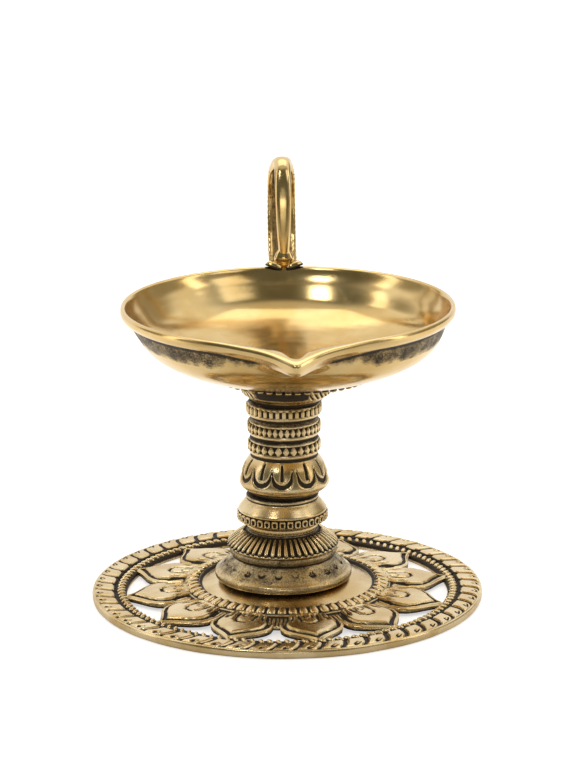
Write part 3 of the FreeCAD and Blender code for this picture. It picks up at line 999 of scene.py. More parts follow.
    def _dish(self) -> None:
        """The dish under the foot, its ring, and the feathered web between the petals' roots."""
        hole, dome, seat, wall = BOLT_HOLE, 13.0, FOOT_SEAT, 2.4
        dome_top, seat_top, floor = top_of("lotus_plate"), 6.3, 4.0
        dish, ring, web, under = self.dish_radius, self.ring_radius, self.web_radius, self.petal_underside
        outline = [
            (hole, dome_top), (hole, dome_top - wall), (dome - wall, dome_top - wall),
            (dome - 1.6, seat_top - wall), (seat, seat_top - wall), (dish, under + 0.6), (ring, under),
            (web, under), (web, 2.6), (ring + 1.6, 3.3), (ring + 0.5, 3.3), (ring, 4.0), (ring - 0.8, 4.45),
            (dish + 1.6, 4.9), (dish + 0.5, 5.2), (dish, 4.9), (dish - 0.1, floor), (dish - 3.0, floor + 0.7),
            (seat + 2.4, seat_top - 0.7), (seat, seat_top), (dome, seat_top), (dome - 0.6, dome_top),
        ]
        pitch = FULL_TURN / self.petals
        start = math.radians(self.petal_turn)

        def relief(angle: np.ndarray, across: np.ndarray, height: np.ndarray) -> Pair:
            """Feather strokes on the web, dark under the ribs and in the dish's corner.

            Args:
                angle: Each corner's angle about the casting's axis.
                across: Its distance from that axis.
                height: Its height.

            Returns:
                How far it is raised, and how far it is recessed for the patina.
            """
            offset = ((angle - start) / pitch + 0.5) % 1.0 - 0.5
            near = np.abs(np.abs(offset) - 0.5) * pitch * across
            on_web = ramp(ring + 0.4, ring + 1.2, across) * ramp(2.2, 2.6, height)
            stroke = line_mark(near % 1.25 - 0.62, 0.36) * on_web
            between = ramp(dish + 0.2, dish + 0.9, across) * ramp(ring + 0.2, ring - 0.5, across)
            under_ribs = between * ramp(3.6, 4.2, height)
            at_dish = ramp(dish - 1.0, dish - 0.2, across) * ramp(dish + 0.7, dish + 0.2, across)
            corner = at_dish * ramp(3.0, 3.8, height)
            at_ring = ramp(ring - 0.1, ring + 0.3, across) * ramp(ring + 1.3, ring + 0.8, across)
            joint = at_ring * ramp(2.6, 3.0, height)
            below = ramp(1.8, 1.2, height) * ramp(dish - 6, dish, across)
            floor_tone = 0.16 * ramp(seat, seat + 1, across) * ramp(dish, dish - 0.6, across)
            shades = [stroke, 0.95 * under_ribs, 0.8 * corner, 0.9 * joint, 0.7 * below, floor_tone]
            return -0.35 * stroke, np.maximum.reduce(shades)

        shell = Turning(outline, sectors=640, step=0.55, blur=0.45).shell(relief)
        self.shop.fit(shell.to_object("plate_dish"), Body.STAND, Finish.ANTIQUE)

    def _ribs(self) -> None:
        """The ring of rounded ribs around the dish."""
        rib = Boss(Plan.CUSHION, 4.7, 2.75, 1.0, skirt=0.9, spokes=20, rings=5, crown=2.8, taper=-0.3).shell()
        lean = Matrix.Rotation(math.radians(13), 4, "Y")
        self.shop.ring("plate_ribs", rib.moved(lean), {
            "Count": self.ribs, "Radius": self.rib_radius * MM, "Height": 4.45 * MM,
            "Size Spread": 0.04, "Turn Spread": 0.03, "Seed": 5,
        })


# --- the stem -------------------------------------------------------------------------------------


def beside(node: str) -> Matrix:
    """The shift from the plate's axis to a casting's own axis, in millimetres."""
    return Matrix.Translation((axis_of(node), 0.0, 0.0))


@dataclass
class StemFoot:
    """The plain turned foot: a disc, a cone with a ring of small punched crescents, and a lip."""

    shop: Workshop
    edge: float = 22.2
    edge_top: float = 9.3
    waist: float = 16.2
    waist_height: float = 14.2
    lip: float = 17.5
    punches: int = 21
    punch_radius: float = 18.9

    def build(self) -> None:
        """Makes the foot."""
        hole, seat, hollow, hollow_top, socket, socket_depth = BOLT_HOLE, FOOT_SEAT, 15.0, 10.4, 8.7, 2.6
        base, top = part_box("stem_foot")[0].z / MM, top_of("stem_foot")
        edge, edge_top, waist, lip, level = self.edge, self.edge_top, self.waist, self.lip, self.waist_height
        outline = [
            (hole, top - socket_depth), (hole, hollow_top), (hollow - 0.6, hollow_top), (hollow, base),
            (seat, base), (seat + 1.0, base + 0.6), (edge - 0.2, base + 0.6), (edge, base + 0.9),
            (edge, edge_top - 0.5), (edge - 0.45, edge_top), (edge - 1.2, edge_top + 0.2), (waist + 0.6, level - 0.4),
            (waist, level + 0.1), (lip - 0.6, level + 0.5), (lip, level + 1.2), (lip, top - 0.4),
            (lip - 0.5, top), (socket, top), (socket, top - socket_depth),
        ]
        pitch = FULL_TURN / self.punches

        def relief(angle: np.ndarray, across: np.ndarray, height: np.ndarray) -> Pair:
            """Punched crescents on the cone, a soft dark line at the waist, painted shade under the edge, and an
            overall dark tone.

            Args:
                angle: Each corner's angle about the casting's axis.
                across: Its distance from that axis.
                height: Its height.

            Returns:
                How far it is raised, and how far it is recessed for the patina.
            """
            on_cone = ramp(edge_top + 0.2, edge_top + 0.8, height) * ramp(level, level - 0.6, height)
            order = np.floor(angle / pitch)
            jitter = hashed(order, 2.0)
            along = ((angle / pitch) % 1.0 - 0.5) * pitch * across - (jitter - 0.5) * 0.9
            up = self.punch_radius + (jitter - 0.5) * 0.5 - across
            curve = up - 0.36 * along * along + 0.3
            struck = 0.55 + 0.45 * (jitter > 0.25)
            crescent = line_mark(curve, 0.34) * ramp(1.35, 1.05, np.abs(along)) * struck
            dots = line_mark(np.hypot((np.abs(along) - 0.42), up - 0.55), 0.30)
            mark = np.maximum(crescent, dots * (jitter > 0.35)) * on_cone
            waist_line = ramp(0.75, 0.1, np.abs(height - level - 0.15)) * ramp(lip + 0.2, lip - 0.3, across)
            # Painted shade: the underside of the foot's edge is darkened.
            under = ramp(base + 0.75, base + 0.45, height)
            turned = 0.02 * np.sin(height * 19.0)
            # A brown patina tone over the whole foot, darker on the cone, which also paints in the dark reflection
            # that the foot shows.
            patina_and_painted_dark_reflection = 0.34 + 0.1 * ramp(edge - 0.8, edge - 2.2, across)
            shades = [mark, 0.8 * waist_line, 0.9 * under, patina_and_painted_dark_reflection]
            return turned * on_cone - 0.45 * mark, np.maximum.reduce(shades)

        shell = Turning(outline, sectors=600, step=0.36, blur=0.3).shell(relief).moved(beside("stem_foot"))
        self.shop.fit(shell.to_object("foot_turning"), Body.STAND, Finish.ANTIQUE, "stem_foot")


@dataclass
class SkirtStem:
    """The lower stem: a ribbed skirt, a plain neck, a beaded skirt and two mouldings."""

    shop: Workshop
    skirt: float = 18.2
    neck: float = 11.3
    ribs: int = 50
    bead_radius: float = 14.15
    bead_height: float = 27.7
    beads: int = 36

    def build(self) -> None:
        """Makes the turning, its ribs and its beads."""
        base, top = top_of("stem_foot"), STEM_JOINT
        hole, spigot, upper, fit = BOLT_HOLE, 8.0, 7.0, 2.4
        skirt, neck = self.skirt, self.neck
        outline = [
            (hole, top + fit), (hole, base - fit), (spigot, base - fit), (spigot, base), (skirt - 1.1, base),
            (skirt - 0.5, base + 0.2), (skirt - 0.15, base + 0.75), (skirt - 0.75, base + 1.15),
            (neck + 0.5, 22.3), (neck - 0.1, 22.9), (neck, 23.4), (neck + 0.35, 24.2), (neck + 0.1, 25.1),
            (12.7, 25.6), (13.9, 26.1), (13.9, 26.5), (13.7, 26.7), (13.7, 28.9), (14.5, 29.3), (14.35, 29.9),
            (12.4, 32.4), (11.6, 33.1), (11.35, 33.5), (11.85, 33.8), (11.9, 34.2), (11.4, 34.6), (11.3, top),
            (upper, top), (upper, top + fit),
        ]

        def relief(angle: np.ndarray, across: np.ndarray, height: np.ndarray) -> Pair:
            """Dark behind the ribs and the beads and in the turned grooves.

            Args:
                angle: Each corner's angle about the casting's axis.
                across: Its distance from that axis.
                height: Its height.

            Returns:
                How far it is raised, and how far it is recessed for the patina.
            """
            behind_ribs = ramp(base + 0.8, base + 1.3, height) * ramp(22.9, 22.5, height)
            scallop = 0.12 * np.cos(angle * self.ribs) * ramp(skirt - 1.4, skirt - 0.4, across)
            behind_beads = ramp(26.3, 26.6, height) * ramp(29.2, 28.9, height)
            grooves = sum(ramp(0.5, 0.1, np.abs(height - level)) for level in (23.0, 25.35, 33.4, 34.75))
            soft = 0.3 * ramp(30.0, 33.0, height)
            shades = [behind_ribs, behind_beads, 0.8 * np.minimum(grooves, 1.0), soft]
            return scallop, np.maximum.reduce(shades)

        shell = Turning(outline, sectors=500, step=0.42, blur=0.3).shell(relief).moved(beside("skirt_stem"))
        self.shop.fit(shell.to_object("skirt_turning"), Body.STAND, Finish.ANTIQUE, "skirt_stem")
        self._ribs(base)
        self._beads()

    def _ribs(self, base: float) -> None:
        """Tapered ribs down the skirt.

        Args:
            base: The skirt's lower edge.
        """
        low, high = (self.skirt - 0.35, base + 1.15), (self.neck + 0.9, 22.15)
        length = math.dist(low, high) + 0.6
        slope = math.atan2(high[1] - low[1], low[0] - high[0])
        rib = Boss(Plan.BLOCK, length, 1.1, 0.78, skirt=0.6, rings=4, crown=2.4, taper=-0.26).shell()
        rib = rib.moved(Matrix.Rotation(slope, 4, "Y"))
        self.shop.ring("skirt_ribs", rib, {
            "Count": self.ribs, "Radius": (low[0] + high[0]) / 2 * MM, "Height": (low[1] + high[1]) / 2 * MM,
            "Axis X": axis_of("skirt_stem") * MM, "Size Spread": 0.03, "Turn Spread": 0.018,
        })

    def _beads(self) -> None:
        """Square beads with a pit in each, around the upper skirt."""
        bead = Boss(Plan.BLOCK, 2.7, 2.15, 0.75, skirt=0.7, spokes=20, rings=6, crown=3.4,
                    pit_depth=0.85, pit_size=0.52, pit_place=(0.05, 0.0)).shell()
        bead = bead.moved(Matrix.Rotation(math.radians(90), 4, "Y"))
        self.shop.ring("skirt_beads", bead, {
            "Count": self.beads, "Radius": self.bead_radius * MM, "Height": self.bead_height * MM,
            "Axis X": axis_of("skirt_stem") * MM, "Size Spread": 0.07, "Turn Spread": 0.03, "Seed": 11,
        })


@dataclass(frozen=True)
class BandRing:
    """One ornament ring of the column: its place and the small raised shapes around it."""

    name: str
    radius: float
    low: float
    high: float
    count: int
    plan: Plan
    width: float


@dataclass
class LotusColumn:
    """The upper stem: a bell with engraved petals, and three ornament rings."""

    shop: Workshop
    petals: int = 11
    petal_radius: float = 3.1
    petal_centre: float = 43.5

    def bands(self) -> tuple[BandRing, ...]:
        """The three rings, lowest first."""
        return (
            BandRing("column_diamonds", 11.75, 49.6, 52.9, 29, Plan.DIAMOND, 2.55),
            BandRing("column_posts", 11.85, 55.8, 59.1, 38, Plan.DIAMOND, 1.95),
            BandRing("column_beads", 12.3, 62.3, 64.9, 36, Plan.CUSHION, 1.45),
        )

    def build(self) -> None:
        """Makes the turning and the rings' ornaments."""
        base, top = STEM_JOINT, top_of("lotus_column")
        socket, socket_top, guide, guide_floor, hole = 7.7, base + 2.7, 9.0, 59.0, BOLT_HOLE
        outline = [
            (socket, base), (11.2, base), (11.5, base + 0.5), (12.2, 36.4), (13.3, 37.0), (14.2, 37.8),
            (14.6, 38.6), (14.55, 39.6), (14.1, 41.4), (13.55, 43.2), (12.9, 44.9), (12.0, 46.3), (11.1, 47.4),
            (10.7, 47.9),
        ]
        for band, neck in zip(self.bands(), (10.5, 10.2, 10.3)):
            edge = band.radius
            outline += [
                (neck, band.low - 1.35), (edge - 0.75, band.low - 1.05), (edge - 0.3, band.low - 0.55),
                (edge - 0.3, band.low - 0.1), (edge - 0.75, band.low + 0.2), (edge - 0.55, band.low + 1.5),
                (edge - 0.75, band.high - 0.2), (edge - 0.35, band.high + 0.1), (edge - 0.5, band.high + 0.5),
                (neck + 0.3, band.high + 1.1),
            ]
        outline += [(11.4, top), (guide, top), (guide, guide_floor), (hole, guide_floor)]
        outline += [(hole, socket_top), (socket, socket_top)]
        pitch = FULL_TURN / self.petals
        start = math.radians(-90 - 1.6)

        def relief(angle: np.ndarray, across: np.ndarray, height: np.ndarray) -> Pair:
            """Engraved petals on the bell, dark bands behind the rings' ornaments and in the necks.

            Args:
                angle: Each corner's angle about the casting's axis.
                across: Its distance from that axis.
                height: Its height.

            Returns:
                How far it is raised, and how far it is recessed for the patina.
            """
            outside = ramp(9.6, 10.0, across)
            order = np.floor((angle - start) / pitch + 0.5) % self.petals
            turn = ((angle - start) / pitch + 0.5) % 1.0 - 0.5
            side = turn * pitch * across + 0.9 * (hashed(order + 1.0) - 0.5)
            up = height - self.petal_centre + 0.5 * (hashed(order + 5.0) - 0.5)
            thick = 0.34 + 0.62 * ramp(0.8, -self.petal_radius, up)
            rim = np.hypot(side, np.minimum(up, 0.0)) - self.petal_radius - 0.25 * ramp(0.0, 1.6, up)
            cup = line_mark(rim, thick) * ramp(1.9, 1.2, up)
            stem = line_mark(side, 0.66 - 0.05 * up) * ramp(-1.7, -1.1, up) * ramp(4.0, 3.2, up)
            on_bell = ramp(37.2, 37.8, height) * ramp(47.6, 46.8, height)
            cut = np.maximum(cup, stem) * on_bell
            neck = np.zeros_like(height)
            for band in self.bands():
                low, high = band.low, band.high
                behind = ramp(low + 0.05, low + 0.3, height) * ramp(high - 0.05, high - 0.3, height)
                above = ramp(high - 0.1, high + 0.5, height) * ramp(high + 1.9, high + 1.5, height)
                below = ramp(0.75, 0.35, np.abs(height - low + 1.4))
                neck = np.maximum.reduce([neck, behind, 0.5 * above, 0.95 * below])
            crown = 0.62 * ramp(65.2, 65.6, height)
            foot = 0.75 * ramp(36.6, 36.0, height)
            patina_and_painted_shade = np.maximum.reduce([cut, neck, crown, foot]) * outside
            return -0.6 * cut * outside, patina_and_painted_shade

        shell = Turning(outline, sectors=600, step=0.52, blur=0.4).shell(relief).moved(beside("lotus_column"))
        self.shop.fit(shell.to_object("column_turning"), Body.STAND, Finish.ANTIQUE, "lotus_column")
        for seed, band in enumerate(self.bands(), start=21):
            self._band(band, seed)

    def _band(self, band: BandRing, seed: int) -> None:
        """Sets one ring's ornaments.

        Args:
            band: The ring.
            seed: The seed of its small differences.
        """
        shape = Boss(band.plan, band.high - band.low + 0.5, band.width, 0.8, rings=4, crown=3.0).shell()
        upright = shape.moved(Matrix.Rotation(math.radians(90), 4, "Y"))
        self.shop.ring(band.name, upright, {
            "Count": band.count,
            "Radius": (band.radius - 0.72) * MM, "Height": (band.low + band.high) / 2 * MM,
            "Axis X": axis_of("lotus_column") * MM, "Size Spread": 0.05, "Turn Spread": 0.03, "Seed": seed,
        })


@dataclass
class BowlSeat:
    """The flared collar under the bowl, with slanting chased strokes."""

    shop: Workshop
    strokes: int = 44

    def build(self) -> None:
        """Makes the collar."""
        low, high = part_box("bowl_seat")
        bottom, top, wide = low.z / MM, high.z / MM, (high.x - low.x) / 2 / MM
        bore = 8.4
        outline = [
            (bore, bottom), (11.4, bottom), (11.9, bottom + 0.7), (13.2, bottom + 1.9), (14.3, bottom + 2.6),
            (14.7, bottom + 3.1), (14.9, bottom + 4.3), (wide - 0.1, top - 0.9), (wide, top - 0.45),
            (wide - 0.3, top), (bore, top),
        ]

        def relief(angle: np.ndarray, across: np.ndarray, height: np.ndarray) -> Pair:
            """Slanting strokes round the upper half, left off at the front, which is darkened with painted shade, and
            a darker underside.

            Args:
                angle: Each corner's angle about the casting's axis.
                across: Its distance from that axis.
                height: Its height.

            Returns:
                How far it is raised, and how dark it is: patina, and painted shade at the front.
            """
            upper = ramp(bottom + 2.3, bottom + 2.9, height) * ramp(top - 0.25, top - 0.7, height)
            upper = upper * ramp(12.5, 13.5, across)
            phase = (angle * self.strokes / FULL_TURN + (height - bottom) * 0.42) % 1.0
            # Painted shade: the side that faces the front is darkened, and its strokes are left off.
            front = ramp(0.72, 0.9, -np.sin(angle + 0.12))
            stroke = line_mark(phase - 0.5, 0.26) * upper * (1 - front)
            shade = 0.9 * front * ramp(bottom + 2.6, bottom + 3.3, height)
            below = 0.75 * ramp(bottom + 1.7, bottom + 0.9, height)
            return -0.28 * stroke, np.maximum.reduce([stroke, below, shade])

        shell = Turning(outline, sectors=620, step=0.34, blur=0.35).shell(relief).moved(beside("bowl_seat"))
        self.shop.fit(shell.to_object("seat_collar"), Body.STAND, Finish.ANTIQUE, "bowl_seat")


# --- the bowl -------------------------------------------------------------------------------------


@dataclass
class OilBowl:
    """The open bowl: flanged rim drawn out into a pouring beak, matted band, and a bead ring beneath.

    turn, beak_angle and beak_round are in degrees.
    """

    # The middle of the wall: height and radius. The trough: height, and the radius and height it is drawn to.
    MID_WALL = (
        (80.0, 41.0), (88.0, 48.0), (90.5, 49.5), (91.4, 50.4), (93.4, 51.8), (95.8, 52.6), (97.6, 52.65),
    )
    TROUGH = (
        (88.7, 47.4, 88.7), (91.3, 49.5, 90.6), (93.6, 52.0, 92.2), (96.0, 56.4, 94.0), (97.3, 57.9, 94.8),
        (97.6, 58.2, 95.0),
    )

    shop: Workshop
    turn: float = 2.2
    rim: float = 53.6
    rim_top: float = 97.6
    beak_gain: float = 9.3
    beak_angle: float = 7.4
    beak_round: float = 1.2
    beak_drop: float = 3.7
    low_drop: float = 1.1
    flange_spread: float = 0.8
    flange_lift: float = 2.4
    beads: int = 54
    bead_ring: float = 25.6
    bead_height: float = 74.8
    bead_shift: float = 1.4
    belly_shift: float = 0.9

    def _body_outline(self) -> list[tuple[float, float]]:
        """The body's outside below the flange, from the rim side down: a flattened ellipse.

        Returns:
            The outline's points, radius and height.
        """
        reach, depth, level, power = 50.07, 19.1, 92.0, 2.1
        turns = (np.linspace(0.12, 1.0, 15) * math.pi / 2)[:-1]
        bow = 2 / power
        return [(reach * math.cos(t) ** bow, level - depth * math.sin(t) ** bow) for t in turns]

    def _outline(self) -> list[tuple[float, float]]:
        """The whole closed outline, hollow side first, from the axis of the thread's bore.

        Returns:
            The outline's points, radius and height.
        """
        top, rim = self.rim_top, self.rim
        boss, bore, boss_bottom, pad = 7.2, 3.0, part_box("oil_bowl")[0].z / MM, 11.0
        body = self._body_outline()
        inner = [(r - 1.75 * min(1.0, r / 30.0 + 0.2), z + 2.1 - 1.5 * (r / 50.0) ** 3) for r, z in body]
        return [
            (0.02, 74.5), *inner[::-1], (49.0, 91.3), (50.6, 93.6), (51.75, 96.0), (51.95, top - 0.25),
            (52.2, top), (rim - 0.35, top), (rim - 0.05, top - 0.3), (rim, 95.8), (rim - 0.6, 93.4),
            (rim - 1.8, 91.4), (51.0, 90.9), (50.4, 90.5), *body, (pad + 0.5, 72.6), (pad, 72.0), (boss, 72.0),
            (boss, boss_bottom), (bore, boss_bottom), (bore, 69.3), (0.02, 70.3),
        ]

    def _angles(self) -> np.ndarray:
        """The sectors' angles, close together at the beak.

        Returns:
            The angles, from beside the beak once round.
        """
        fine = np.radians(np.arange(-32.0, 32.0, 0.32))
        coarse = np.radians(np.arange(32.0, 328.0, 1.05))
        return np.concatenate([fine, coarse]) + math.radians(-90.0)

    def _beak_reach(self, away: np.ndarray) -> np.ndarray:
        """The beak's share of the rim, 1 at its tip and 0 well away from it."""
        rounded = np.sqrt(away ** 2 + self.beak_round ** 2) - self.beak_round
        return np.exp(-rounded / self.beak_angle) * ramp(31.0, 17.0, away)

    def _outer_draw(self, away: np.ndarray, z: np.ndarray) -> Pair:
        """Draws the outside out at the beak, and thins the flange away from it.

        Args:
            away: Each corner's angle from the beak, in degrees.
            z: Its height.

        Returns:
            How far out, and how far down, each corner moves.
        """
        reach = self._beak_reach(away)
        below = np.exp(-(away / 6.0) ** 1.5) * ramp(87.6, 90.4, z)
        upper = ramp(90.6, 95.5, z)
        gain = self.beak_gain * reach * upper + (self.beak_gain + 0.9) * below * (1 - upper)
        drop = self.low_drop * ramp(87.6, 90.5, z) + (self.beak_drop - self.low_drop) * ramp(91.0, 96.5, z)
        flange = ramp(2.0, 32.0, away) * ramp(82.0, 90.5, z) * ramp(96.5, 92.0, z)
        return gain + self.flange_spread * flange, reach ** 0.8 * drop - self.flange_lift * flange

    def _inner_draw(self, away: np.ndarray, radius: np.ndarray, z: np.ndarray) -> Pair:
        """Draws the hollow out into a narrow trough that runs along the beak.

        Args:
            away: Each corner's angle from the beak, in degrees.
            radius: Its radius.
            z: Its height.

        Returns:
            How far out, and how far down, each corner moves.
        """
        reach = self._beak_reach(away)
        levels, radii, heights = zip(*self.TROUGH)
        notch = (1.0 / (1.0 + (away / 3.1) ** 4)) * ((z > levels[0]) & (radius > 40))
        lip = ramp(92.0, 97.0, z)
        gain = (np.interp(z, levels, radii) - radius) * notch + 0.7 * reach * lip
        fall = (z - np.interp(z, levels, heights) - 2.0 * lip) * notch + 2.0 * reach ** 0.7 * lip
        return gain, fall

    def _drawn_out(self, shell: Shell) -> Shell:
        """Draws the rim out into the beak and lets its lip fall towards the tip.

        Args:
            shell: The round bowl.

        Returns:
            The bowl with its beak.
        """
        x, y, z = shell.corners.T
        away = np.abs(np.degrees(np.arctan2(x, -y)))
        radius = np.hypot(x, y)
        outside = np.clip((radius - np.interp(z, *zip(*self.MID_WALL))) / 0.9 + 0.5, 0.0, 1.0)
        outer_gain, outer_fall = self._outer_draw(away, z)
        inner_gain, inner_fall = self._inner_draw(away, radius, z)
        gain = outer_gain * outside + inner_gain * (1 - outside)
        fall = outer_fall * outside + inner_fall * (1 - outside)
        scale = (radius + gain) / np.maximum(radius, 1e-6)
        leaning = self.belly_shift * ramp(92.0, 84.0, z) * ramp(16.0, 30.0, radius)
        return Shell(np.stack([x * scale + leaning, y * scale, z - fall], axis=1), shell.faces, shell.patina_and_painted_shade)

    def build(self) -> None:
        """Makes the bowl and its bead ring."""
        def relief(angle: np.ndarray, across: np.ndarray, height: np.ndarray) -> Pair:
            """The matted band under the flange, fading out beside the beak, and the dark groove above it.

            Args:
                angle: Each corner's angle about the casting's axis.
                across: Its distance from that axis.
                height: Its height.

            Returns:
                How far it is raised, and how far it is recessed for the patina.
            """
            from_beak = np.abs((np.degrees(angle) + 90.0 + 180.0) % 360.0 - 180.0)
            outside = ramp(43.5, 45.0, across) * (across > 49.0 - (91.0 - height) * 0.25)
            ragged = 0.4 * np.sin(angle * 23.0) + 0.3 * np.sin(angle * 61.0 + 1.0)
            low = 83.2 + 3.6 * ramp(40.0, 10.0, from_beak)
            band = ramp(low - 0.6, low + 4.4, height + ragged) * ramp(91.5, 91.0, height) * outside
            band = band * ramp(7.0, 15.0, from_beak)
            groove = ramp(1.0, 0.4, np.abs(height - 90.4)) * ramp(48.6, 49.3, across)
            groove = groove * ramp(8.0, 14.0, from_beak)
            return -0.14 * band - 0.15 * groove, np.maximum(band * 0.72, groove * 0.95)

        shell = Turning(self._outline(), step=0.85, blur=0.5).shell(relief, self._angles())
        place = beside("oil_bowl") @ Matrix.Rotation(math.radians(self.turn), 4, "Z")
        piece = self._drawn_out(shell).moved(place).to_object("bowl_shell")
        self.shop.fit(piece, Body.BOWL, Finish.POLISHED, "oil_bowl")
        self._bead_ring()

    def _bead_ring(self) -> None:
        """Small beads on the underside, around the collar."""
        bead = Boss(Plan.CUSHION, 1.8, 2.0, 0.65, skirt=0.9, spokes=16, rings=4, crown=2.4).shell()
        below = bead.moved(Matrix.Rotation(math.radians(170), 4, "Y"))
        self.shop.ring("bowl_bead_ring", below, {
            "Count": self.beads, "Radius": self.bead_ring * MM, "Height": self.bead_height * MM,
            "Axis X": (axis_of("oil_bowl") + self.bead_shift) * MM,
            "Size Spread": 0.05, "Turn Spread": 0.02, "Seed": 31,
        }, Body.BOWL, Finish.POLISHED)


# --- the finger loop ------------------------------------------------------------------------------


@dataclass(frozen=True)
class Station:
    """One cross-section of the loop: its middle, its width across and its thickness, in millimetres."""

    back: float
    height: float
    width: float
    thick: float
    flat: float


@dataclass
class FingerLoop:
    """The handle: a smooth front strap on a vase and two leaves, and a back plate. twist is in degrees."""

    shop: Workshop
    front: float = 50.7
    side: float = -0.3
    twist: float = 2.4
    sections: int = 150
    around: int = 44

    def _stations(self) -> tuple[Station, ...]:
        """The cross-sections from the rim, over the top and down the back, measured from the foot.

        Returns:
            The cross-sections.
        """
        top = top_of("finger_loop")
        rim = top_of("oil_bowl")
        return (
            Station(1.8, rim + 0.2, 4.2, 3.4, 2.0),
            Station(1.8, rim + 3.4, 3.4, 3.0, 2.0),
            Station(1.9, rim + 6.0, 3.6, 2.9, 2.0),
            Station(2.2, rim + 10.5, 4.4, 2.8, 2.5),
            Station(2.7, rim + 15.5, 4.9, 2.7, 3.0),
            Station(3.5, rim + 21.5, 5.2, 2.8, 3.1),
            Station(5.2, top - 8.2, 5.4, 3.3, 2.6),
            Station(7.6, top - 3.9, 5.5, 4.1, 2.2),
            Station(11.4, top - 2.2, 5.5, 4.4, 2.0),
            Station(15.4, top - 3.4, 6.9, 3.6, 3.4),
            Station(18.4, top - 6.8, 9.0, 2.7, 5.0),
            Station(20.2, top - 11.0, 9.5, 2.3, 5.5),
            Station(20.9, top - 16.0, 9.6, 2.1, 6.0),
            Station(20.4, top - 22.0, 9.7, 2.1, 6.0),
            Station(18.2, top - 28.5, 9.7, 2.1, 6.0),
            Station(13.6, top - 35.6, 9.6, 2.2, 6.0),
            Station(7.3, rim - 5.9, 9.2, 2.4, 5.0),
            Station(1.6, rim - 9.6, 7.0, 2.6, 3.0),
            Station(-0.6, rim - 11.0, 4.0, 2.2, 2.3),
        )

    def _path(self) -> Pair:
        """Walks the stations at even steps and eases them.

        Returns:
            How far along each step lies, and each step's back, height, width, thickness and flatness.
        """
        table = np.array([(s.back, s.height, s.width, s.thick, s.flat) for s in self._stations()])
        steps = np.concatenate([[0.0], np.cumsum(np.hypot(*np.diff(table[:, :2], axis=0).T))])
        places = np.linspace(0.0, steps[-1], self.sections)
        walked = np.stack([np.interp(places, steps, column) for column in table.T], axis=1)
        kernel = np.hanning(11)
        kernel /= kernel.sum()
        padded = np.concatenate([2 * walked[0] - walked[5:0:-1], walked, 2 * walked[-1] - walked[-2:-7:-1]])
        return places, np.stack([np.convolve(column, kernel, mode="valid") for column in padded.T], axis=1)

    def _section(
        self, place: float, plate: float, width: float, thick: float, flat: float,
    ) -> tuple[np.ndarray, np.ndarray, np.ndarray]:
        """One cross-section, with the back plate's border of beads, its vein and its leaves, and painted shade on its
        inner face.

        Args:
            place: How far along the loop it lies.
            plate: 1 on the back plate, where the ornament is, and 0 on the strap.
            width: Its width across.
            thick: Its thickness.
            flat: The power of its outline.

        Returns:
            Each corner's place across, its place outwards from the loop's middle line, and how dark it is: patina,
            and painted shade.
        """
        turn = np.linspace(0.0, FULL_TURN, self.around, endpoint=False)
        across = np.sign(np.cos(turn)) * np.abs(np.cos(turn)) ** (2 / flat)
        out = np.sign(np.sin(turn)) * np.abs(np.sin(turn)) ** (2 / flat)
        # The back plate's inner face: a shallow dent, darkened with painted shade.
        inner = ramp(0.2, 0.6, out) * ramp(0.90, 0.62, np.abs(across)) * plate
        outer = ramp(0.2, 0.6, -out) * ramp(0.88, 0.7, np.abs(across)) * plate
        bead = 0.5 + 0.5 * np.cos(place * 3.4 + np.sign(across) * 0.8)
        edge = ramp(0.74, 0.9, np.abs(across)) * plate
        vein = line_mark(across, 0.16) * outer
        leaf = line_mark((place * 0.55 + np.abs(across) * 1.4) % 1.0 - 0.5, 0.26) * outer
        chased = np.maximum(vein, leaf)
        dent = 0.45 * inner + 0.16 * edge * bead + 0.3 * chased
        patina_and_painted_shade = np.clip(0.68 * inner + 0.55 * edge * (bead > 0.62) + chased, 0.0, 1.0)
        return across * (width / 2 - 0.14 * edge * bead), -out * (thick / 2 - dent), patina_and_painted_shade

    def _strap(self) -> Shell:
        """The strap and the back plate as one swept shell.

        Returns:
            The closed shell, standing behind its own foot.
        """
        places, walked = self._path()
        heading = np.gradient(walked[:, :2], axis=0)
        heading /= np.hypot(*heading.T)[:, None]
        plates = ramp(3.4, 4.8, walked[:, 4]) * ramp(0.0, 0.08, 1 - places / places[-1])
        corners, patina_and_painted_shade = [], []
        for place, plate, (along, up), (back, height, *size) in zip(places, plates, heading, walked):
            side, reach, dark = self._section(place, plate, *size)
            corners.append(np.stack([side, back - up * reach, height + along * reach], axis=1))
            patina_and_painted_shade.append(dark)
        first, last = corners[0].mean(axis=0), corners[-1].mean(axis=0)
        count, total = self.around, self.around * self.sections
        start = total - count
        faces = grid_faces(self.sections, count, False, True)
        faces += [(total, (k + 1) % count, k) for k in range(count)]
        faces += [(total + 1, start + k, start + (k + 1) % count) for k in range(count)]
        dark = np.concatenate([*patina_and_painted_shade, [0.0, 0.0]])
        return Shell(np.concatenate([*corners, [first, last]]), faces, dark).outward()

    def _foot(self) -> Shell:
        """The vase and the two leaves that the strap stands on.

        Returns:
            The closed shells, as one.
        """
        rim = top_of("oil_bowl")
        outline = [
            (0.02, rim + 0.6), (2.6, rim + 0.7), (3.3, rim + 1.8), (3.35, rim + 3.0), (2.7, rim + 4.4),
            (1.7, rim + 5.8), (0.02, rim + 6.0),
        ]

        def relief(angle: np.ndarray, across: np.ndarray, height: np.ndarray) -> Pair:
            """A dark collar above the vase and beneath it.

            Args:
                angle: Each corner's angle about the casting's axis.
                across: Its distance from that axis.
                height: Its height.

            Returns:
                How far it is raised, and how far it is recessed for the patina.
            """
            beneath, above = ramp(rim + 1.4, rim + 0.9, height), ramp(rim + 5.2, rim + 5.8, height)
            return np.zeros_like(across), 0.8 * beneath + 0.7 * above

